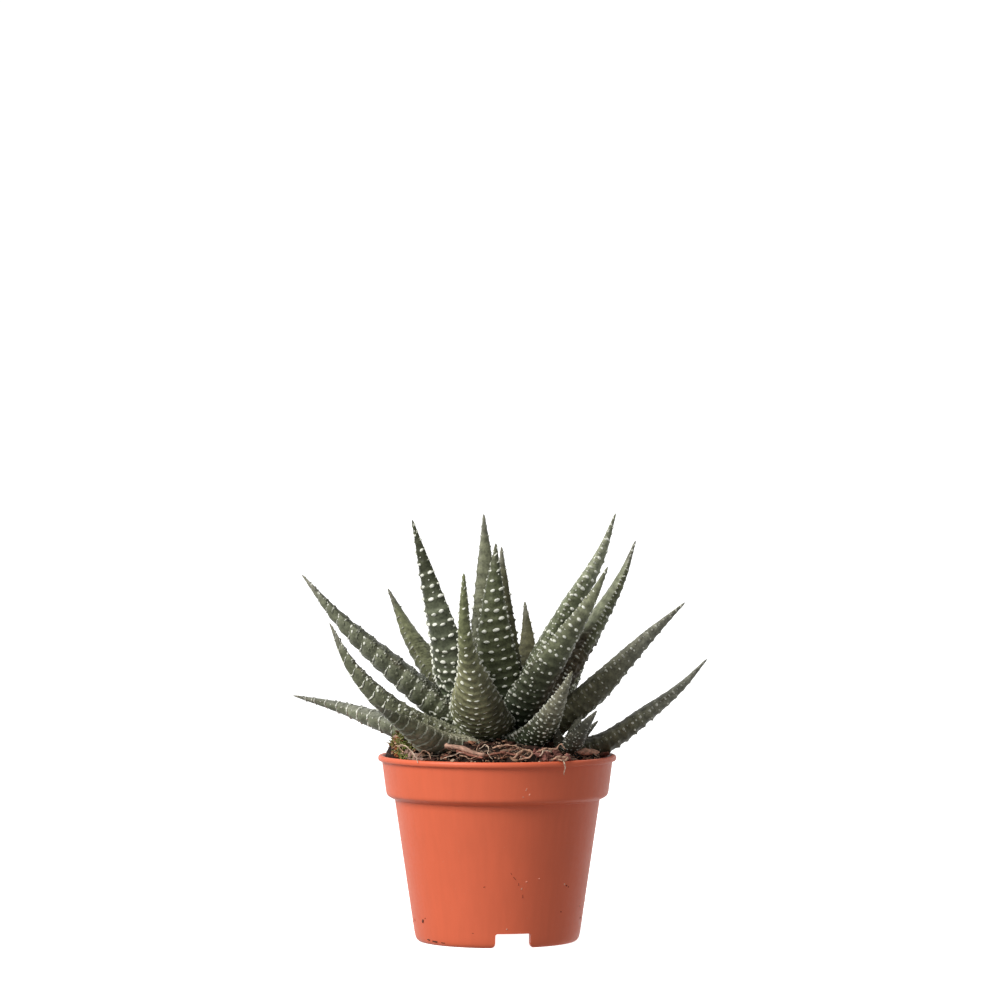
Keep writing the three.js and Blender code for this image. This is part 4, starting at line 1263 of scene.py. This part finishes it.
def chunk(length, width, thickness, draw):
    """A rough block of bark about the origin, along X: a squared-off ball with chipped ends and edges."""
    rings, sides = CHUNK_RINGS, CHUNK_SIDES
    points = []
    for i in range(rings):
        u = -1 + 2 * i / (rings - 1)
        girth = (1 - abs(u) ** 7) ** 0.5 if 0 < i < rings - 1 else 0.45
        for k in range(sides):
            turn = 2 * math.pi * k / sides
            c, s = math.cos(turn), math.sin(turn)
            square = 1 / max(abs(c), abs(s)) ** 0.75
            points.append((u, c * square * girth, s * square * girth))
    points = np.array(points) * (length / 2, width / 2, thickness / 2)
    seed = draw.randrange(10**6)
    points += ripple_3d(points, 2.2 * MM, seed) * np.array([0.35, 0.22, 0.22]) * min(width, thickness)
    points = np.vstack([points, points[:sides].mean(0), points[-sides:].mean(0)])
    return points, closed_rings(rings, sides)


def spot_on_soil(draw, low, high):
    """A seeded place on the soil between two radii."""
    azimuth = draw.uniform(0, 2 * math.pi)
    radius = math.sqrt(draw.uniform(low**2, high**2))
    x, y = radius * math.cos(azimuth), radius * math.sin(azimuth)
    return x, y, float(litter_top(x, y)), azimuth


def inside_rim(points):
    """Points pulled in where they would pass through the pot's wall."""
    radius = np.hypot(points[:, 0], points[:, 1])
    limit = np.where(points[:, 2] < POT_HEIGHT + 0.2 * MM, SOIL_EDGE, LIP_EDGE)
    pull = np.minimum(1, limit / np.maximum(radius, 1e-6))
    points[:, :2] *= pull[:, None]
    return points


def laid(points, at, direction):
    """Points about the origin, along X, moved to a place and turned to a direction."""
    return points @ frame_of(direction) + at


def tumbled(points, draw, x, y, z, lift, tip):
    """A chip laid at a place, lifted a little and pointing anywhere, its end up or down by tip at most."""
    at = (x, y, float(z) + draw.uniform(*lift) * MM)
    return inside_rim(laid(points, at, (draw.uniform(-1, 1), draw.uniform(-1, 1), draw.uniform(-tip, tip))))


def bark_chip(i, draw):
    """A chip at some angle, mostly along the rim and near to level. The first ones are larger."""
    length = draw.uniform(*(LARGE_CHIP if i < LARGE_CHIPS else SMALL_CHIP)) * MM
    width = length * draw.uniform(0.28, 0.55)
    points, faces = chunk(length, width, width * draw.uniform(0.35, 0.7), draw)
    x, y, z, azimuth = spot_on_soil(draw, 14 * MM, SOIL_EDGE - 1 * MM)
    yaw = azimuth + math.pi / 2 + draw.uniform(-1.0, 1.0)
    tilt = draw.uniform(-0.45, 0.45)
    direction = (math.cos(yaw) * math.cos(tilt), math.sin(yaw) * math.cos(tilt), math.sin(tilt))
    points = laid(points, (x, y, z + draw.uniform(-0.3, 0.9) * MM), direction)
    tone = np.array(draw.choice(BARK_TONES)) * draw.uniform(0.4, 1.05)
    tones = mottled(tone, points, 0.4, 1.6 * MM, 40 + i)
    return inside_rim(points), faces, tones


def red_chip(draw):
    """A small red chip at the front, right of the middle."""
    size = draw.uniform(*RED_CHIP) * MM
    points, faces = chunk(size, size * 0.7, size * 0.6, draw)
    x, y = draw.uniform(13, 25) * MM, draw.uniform(-33.5, -27) * MM
    points = tumbled(points, draw, x, y, litter_top(x, y), (0, 2), 0.5)
    return points, faces, np.array(RED_BARK) * draw.uniform(0.7, 1.3)


def make_bark(material):
    """The chips of bark and the block that leans on the rim."""
    draw = random.Random(BARK_SEED)
    heap = Heap()
    for i in range(BARK_CHIPS):
        heap.add(*bark_chip(i, draw))
    for _ in range(RED_CHIPS):
        heap.add(*red_chip(draw))
    points, faces = chunk(*RIM_CHIP_SIZE, draw)
    heap.add(laid(points, RIM_CHIP_AT, RIM_CHIP_ALONG), faces, RIM_BARK)
    heap.piece("soil_bark", "soil", material)


def coarse_ball():
    """Points and faces of a ball of radius 1."""
    ball = bmesh.new()
    bmesh.ops.create_icosphere(ball, subdivisions=1, radius=1)
    points = np.array([v.co for v in ball.verts])
    faces = [tuple(v.index for v in f.verts) for f in ball.faces]
    ball.free()
    return points, faces


def crumb(unit, draw):
    """A crumb of peat or bark anywhere on the soil, from the points of a ball: its points and its tone."""
    size = draw.uniform(*CRUMB) * MM
    stretch = np.array([draw.uniform(0.7, 1.5), draw.uniform(0.6, 1.1), draw.uniform(0.5, 0.9)])
    points = unit * stretch * size
    points *= 1 + 0.18 * ripple(unit, 1.3, draw.randrange(10**6))[:, None]
    x, y, z, azimuth = spot_on_soil(draw, 12 * MM, SOIL_EDGE)
    points = turned_about_z(points, azimuth * 3) + (x, y, z + draw.uniform(-0.4, 0.3) * MM)
    tone = draw.choice((PEAT, PEAT, BARK_TONES[0], BARK_TONES[3], BARK_TONES[1], BARK_TONES[4]))
    return inside_rim(points), np.array(tone) * draw.uniform(0.7, 1.4)


def grain(unit, draw):
    """A grain of grit inside the rim, at the front and to the left: its points and its tone."""
    size = draw.uniform(*GRAIN) * MM
    points = unit * size * np.array([1.2, 0.9, 0.7])
    x = draw.uniform(-36, -26) * MM
    y = -math.sqrt((37.5 * MM) ** 2 - x**2) + draw.uniform(0, 5) * MM
    points = points + (x, y, float(litter_top(x, y)) + draw.uniform(0, 0.8) * MM)
    return inside_rim(points), np.array(GRIT_TONE) * draw.uniform(0.7, 1.2)


def make_crumbs(material):
    """Small crumbs of peat and bark over the whole top, and some grit."""
    draw = random.Random(CRUMB_SEED)
    unit, faces = coarse_ball()
    heap = Heap()
    for shape, count in ((crumb, CRUMBS), (grain, GRIT)):
        for _ in range(count):
            points, tone = shape(unit, draw)
            heap.add(points, faces, tone)
    heap.piece("soil_crumbs", "soil", material, smooth=False)


def curl(start, heading, length, bend, lift, sag, count):
    """A path that leaves start along heading, turning by bend, rising by lift and then sagging."""
    path = [np.array(start, float)]
    step = length / (count - 1)
    for i in range(1, count):
        share = i / (count - 1)
        heading += bend / (count - 1)
        climb = lift * (1 - 2 * share) - sag * share
        path.append(path[-1] + step * np.array([math.cos(heading), math.sin(heading), climb]))
    return np.array(path)


def through(points, count):
    """A smooth path through a few points."""
    t, p0, p1, p2, p3 = knots_at(points, count)
    square = 2 * p0 - 5 * p1 + 4 * p2 - p3
    cube = 3 * p1 - p0 - 3 * p2 + p3
    return 0.5 * (2 * p1 + (p2 - p0) * t + square * t**2 + cube * t**3)


def front_root(tone, radius, points, draw):
    """A root or a curl of bark that runs through points, thinner towards its end."""
    path = through(np.array(points) * MM, 30)
    seed = draw.randrange(10**6)
    path += 0.22 * MM * ripple_3d(path, 1.9 * MM, seed)
    stout = radius * MM * (1.0 if tone == 0 else 0.75)
    knots = stout * (1 + 0.35 * ripple(path, 1.1 * MM, seed + 3)) * np.linspace(1, 0.55, len(path))
    points, faces = tube(path, knots, 8)
    return points, faces, mottled(ROOT_TONES[tone], points, 0.35, 1.5 * MM, seed + 4)


def loose_root(i, draw):
    """A fine root that arches over the soil, mostly along the rim."""
    x, y, z, azimuth = spot_on_soil(draw, 18 * MM, SOIL_EDGE - 2 * MM)
    heading = azimuth + math.pi / 2 + draw.uniform(-1.2, 1.2) + (math.pi if i % 2 else 0)
    length = draw.uniform(*LOOSE_ROOT) * MM
    path = curl((x, y, z), heading, length, draw.uniform(-2.4, 2.4), draw.uniform(0.1, 0.7), 0.15, 12)
    path[:, 2] = np.maximum(path[:, 2], litter_top(path[:, 0], path[:, 1]) - 0.3 * MM)
    path += 0.18 * MM * ripple_3d(path, 1.8 * MM, 900 + 3 * i)
    radius = draw.uniform(0.07, 0.24) * MM
    points, faces = tube(path, np.linspace(radius, radius * 0.5, len(path)), 6)
    tone = np.array(draw.choice(ROOT_TONES)) * draw.uniform(0.45, 1.0)
    return inside_rim(points), faces, tone


def make_roots(material):
    """Fine pale roots and fibres that arch out of the soil and back into it."""
    draw = random.Random(ROOT_SEED)
    heap = Heap()
    for root in FRONT_ROOTS:
        heap.add(*front_root(*root, draw))
    for i in range(LOOSE_ROOTS):
        heap.add(*loose_root(i, draw))
    heap.piece("soil_roots", "soil", material)


def make_twigs(material):
    """The larger twigs, each from one end to the other."""
    draw = random.Random(TWIG_SEED)
    heap = Heap()
    for start, end, radius, tone in TWIGS:
        path = np.linspace(start, end, 18) * MM
        seed = draw.randrange(10**6)
        path += 0.45 * radius * MM * ripple_3d(path, 6 * MM, seed)
        knots = (1 + 0.22 * ripple(path, 2.5 * MM, seed + 3)) * np.linspace(1.1, 0.8, len(path))
        points, faces = tube(path, radius * MM * knots, 12)
        points += 0.16 * radius * MM * ripple_3d(points, 0.8 * MM, seed + 4)
        heap.add(points, faces, mottled(tone, points, 0.35, 1.4 * MM, seed + 7))
    heap.piece("soil_twigs", "soil", material)


def moss_blade(x, y, z, draw):
    """A short, bent blade, green or, mostly at the left, brown."""
    t = np.array([0, 0.3, 0.6, 0.85, 1])[:, None]
    radii = np.array([0.20, 0.24, 0.22, 0.14, 0.05]) * MM
    lean = np.array([draw.uniform(-0.9, 0.9), draw.uniform(-0.9, 0.7), 1.0])
    brown = draw.random() < 0.8 * smoothstep(x, SOIL_HEAP[0] + 0.8 * MM, SOIL_HEAP[0] - 2.2 * MM)
    length = draw.uniform(0.7, 1.6 if brown else 2.4) * MM
    droop = 0.4 * np.array((lean[0], lean[1], -0.5))
    points, faces = tube((x, y, z) + length * (lean * t + droop * t * t), radii, 5)
    tone = np.array(draw.choice(MOSS_BROWNS if brown else MOSS_GREENS))
    return points, faces, tone * draw.uniform(0.6, 1.2)


def moss_scrap(draw):
    """A brown scrap that lies on the tuft."""
    size = draw.uniform(*MOSS_SCRAP) * MM
    points, faces = chunk(size, size * 0.6, size * 0.45, draw)
    x = SOIL_HEAP[0] + draw.gauss(-1.2, 1.7) * MM
    y = SOIL_HEAP[1] + draw.gauss(-2, 2.6) * MM
    points = tumbled(points, draw, x, y, soil_top(x, y), (-0.2, 0.8), 0.6)
    return points, faces, draw.choice(SCRAP_TONES)


def make_moss(material):
    """A tuft of moss against the rim at the left: short, bent blades among brown scraps."""
    draw = random.Random(MOSS_SEED)
    heap = Heap()
    for _ in range(MOSS_BLADES):
        x = SOIL_HEAP[0] + draw.gauss(0.6, 2.6) * MM
        y = SOIL_HEAP[1] + draw.gauss(-3, 3.4) * MM
        z = float(soil_top(x, y)) + draw.uniform(-0.6, 0.2) * MM
        if math.hypot(x, y) <= SOIL_EDGE:
            heap.add(*moss_blade(x, y, z, draw))
    for _ in range(MOSS_SCRAPS):
        heap.add(*moss_scrap(draw))
    heap.piece("soil_moss", "soil", material)


def on_pot(x, z, aside):
    """A point on the pot's outside at an azimuth from its front, and the way out from there."""
    radius = band_radius(z) if z > STEP_Z else body_radius(z)
    if z < FOOT_ROUND_Z:
        radius = FOOT_RADIUS + (BODY_BOTTOM_RADIUS - FOOT_RADIUS) * (z / FOOT_ROUND_Z) ** 0.5
    azimuth = math.asin(x / radius) + aside
    out = np.array((math.sin(azimuth), -math.cos(azimuth), 0))
    return radius * out + (0, 0, z), out


def make_pot_marks(material):
    """Flakes of dirt and scuffs, thin and lying flat on the wall, with a few more round the back."""
    draw = random.Random(MARK_SEED)
    heap = Heap()
    placed = [(*mark, 0.0) for mark in POT_MARKS]
    for _ in range(BACK_MARKS):
        tone = draw.choice((DIRT_BROWN, DIRT_RED, SCUFF))
        size = draw.uniform(0.4, 1.3)
        shape = (draw.uniform(5, 48), size, size * draw.uniform(0.3, 0.6), draw.uniform(0, 180))
        placed.append((0, *shape, tone, draw.uniform(1.2, 5.1)))
    for x, z, length, width, lean, tone, aside in placed:
        at, out = on_pot(x * MM, z * MM, aside)
        flake, faces = chunk(length * MM, width * MM, MARK_THICKNESS, draw)
        level = np.cross((0, 0, 1), out)
        lean = math.radians(lean)
        along = level * math.cos(lean) + np.array((0, 0, 1)) * math.sin(lean)
        axes = np.array([along, np.cross(out, along), out])
        heap.add(flake @ axes + at, faces, np.array(tone) * draw.uniform(0.8, 1.2))
    heap.piece("pot_marks", "pot", material)


make_soil_bed(crumbly("peat", 0.95, 500))
make_bark(crumbly("bark", 0.88, 700, (1, 1, 2.2)))
make_crumbs(crumbly("crumb", 0.92, 1200))
make_roots(crumbly("root", 0.7, 1400))
make_twigs(crumbly("twig", 0.8, 900, (0.5, 1, 2)))
make_moss(crumbly("moss", 0.85, 900))
make_pot_marks(crumbly("dirt", 0.8, 1500))


def clad_stems(material):
    """The stems stay as they are packed: the leaves hide them."""
    for name in ("stem", "offset_stem"):
        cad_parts[name].data.materials.clear()
        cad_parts[name].data.materials.append(material)


clad_stems(crumbly("stem_bark", 0.85, 600, fixed_tone=STEM_TONE))

# ---------------------------------------------------------------- studio


def make_floor():
    """A wide floor that glows white. It throws no light on the plant and shows in no reflection."""
    size = 30
    corners = [(-size, -size, 0), (size, -size, 0), (size, size, 0), (-size, size, 0)]
    floor = new_object("floor", new_mesh("floor", corners, [(0, 1, 2, 3)]))
    material, shader = new_material("floor_white", 0.9, 0.1)
    shader.inputs["Base Color"].default_value = (0.9, 0.9, 0.9, 1)
    shader.inputs["Emission Color"].default_value = (1, 1, 1, 1)
    shader.inputs["Emission Strength"].default_value = 1.0
    floor.data.materials.append(material)
    floor.visible_diffuse = False
    floor.visible_glossy = False


def make_world():
    """White all round to look at, a softer grey as light, and a card behind that shows in reflections."""
    world = bpy.data.worlds.new("studio")
    world.use_nodes = True
    tree = world.node_tree
    tree.nodes.clear()
    nodes = Nodes(tree)
    to_back = nodes.made("ShaderNodeSeparateXYZ", "Y", Vector=nodes.coords["Generated"])
    mirrored = nodes.span(to_back, 0.1, 0.9, MIRRORED_FRONT, MIRRORED_BACK)
    rays = tree.nodes.new("ShaderNodeLightPath").outputs
    light = nodes.made("ShaderNodeBackground", "Background", Color=(1, 1, 1), Strength=AMBIENT)
    for ray, strength in (("Is Glossy Ray", mirrored), ("Is Camera Ray", SEEN)):
        other = nodes.made("ShaderNodeBackground", "Background", Color=(1, 1, 1), Strength=strength)
        choose = tree.nodes.new("ShaderNodeMixShader")
        for socket, value in zip(choose.inputs, (rays[ray], light, other)):
            nodes.feed(socket, value)
        light = choose.outputs["Shader"]
    nodes.feed(tree.nodes.new("ShaderNodeOutputWorld").inputs["Surface"], light)
    bpy.context.scene.world = world


def aim(made, target):
    made.rotation_mode = "QUATERNION"
    made.rotation_quaternion = (Vector(target) - made.location).to_track_quat("-Z", "Y")


def make_key_light():
    """A square light at the front, to the left and above."""
    data = bpy.data.lights.new("key_light", "AREA")
    data.shape = "SQUARE"
    data.size = KEY_SIZE
    data.energy = KEY_WATTS
    data.color = KEY_COLOUR
    light = new_object("key_light", data)
    azimuth, elevation = math.radians(KEY_AZIMUTH), math.radians(KEY_ELEVATION)
    level = KEY_DISTANCE * math.cos(elevation)
    rise = KEY_DISTANCE * math.sin(elevation)
    light.location = (-level * math.sin(azimuth), -level * math.cos(azimuth), LIT_POINT[2] + rise)
    aim(light, LIT_POINT)


def make_camera():
    data = bpy.data.cameras.new("camera")
    data.lens = CAMERA_LENS
    data.sensor_width = 36
    data.clip_start = 0.05
    data.clip_end = 100
    camera = new_object("camera", data)
    camera.location = CAMERA_AT
    aim(camera, CAMERA_AIM)
    bpy.context.scene.camera = camera


make_floor()
make_world()
make_key_light()
make_camera()
bpy.context.scene.view_settings.view_transform = "Standard"
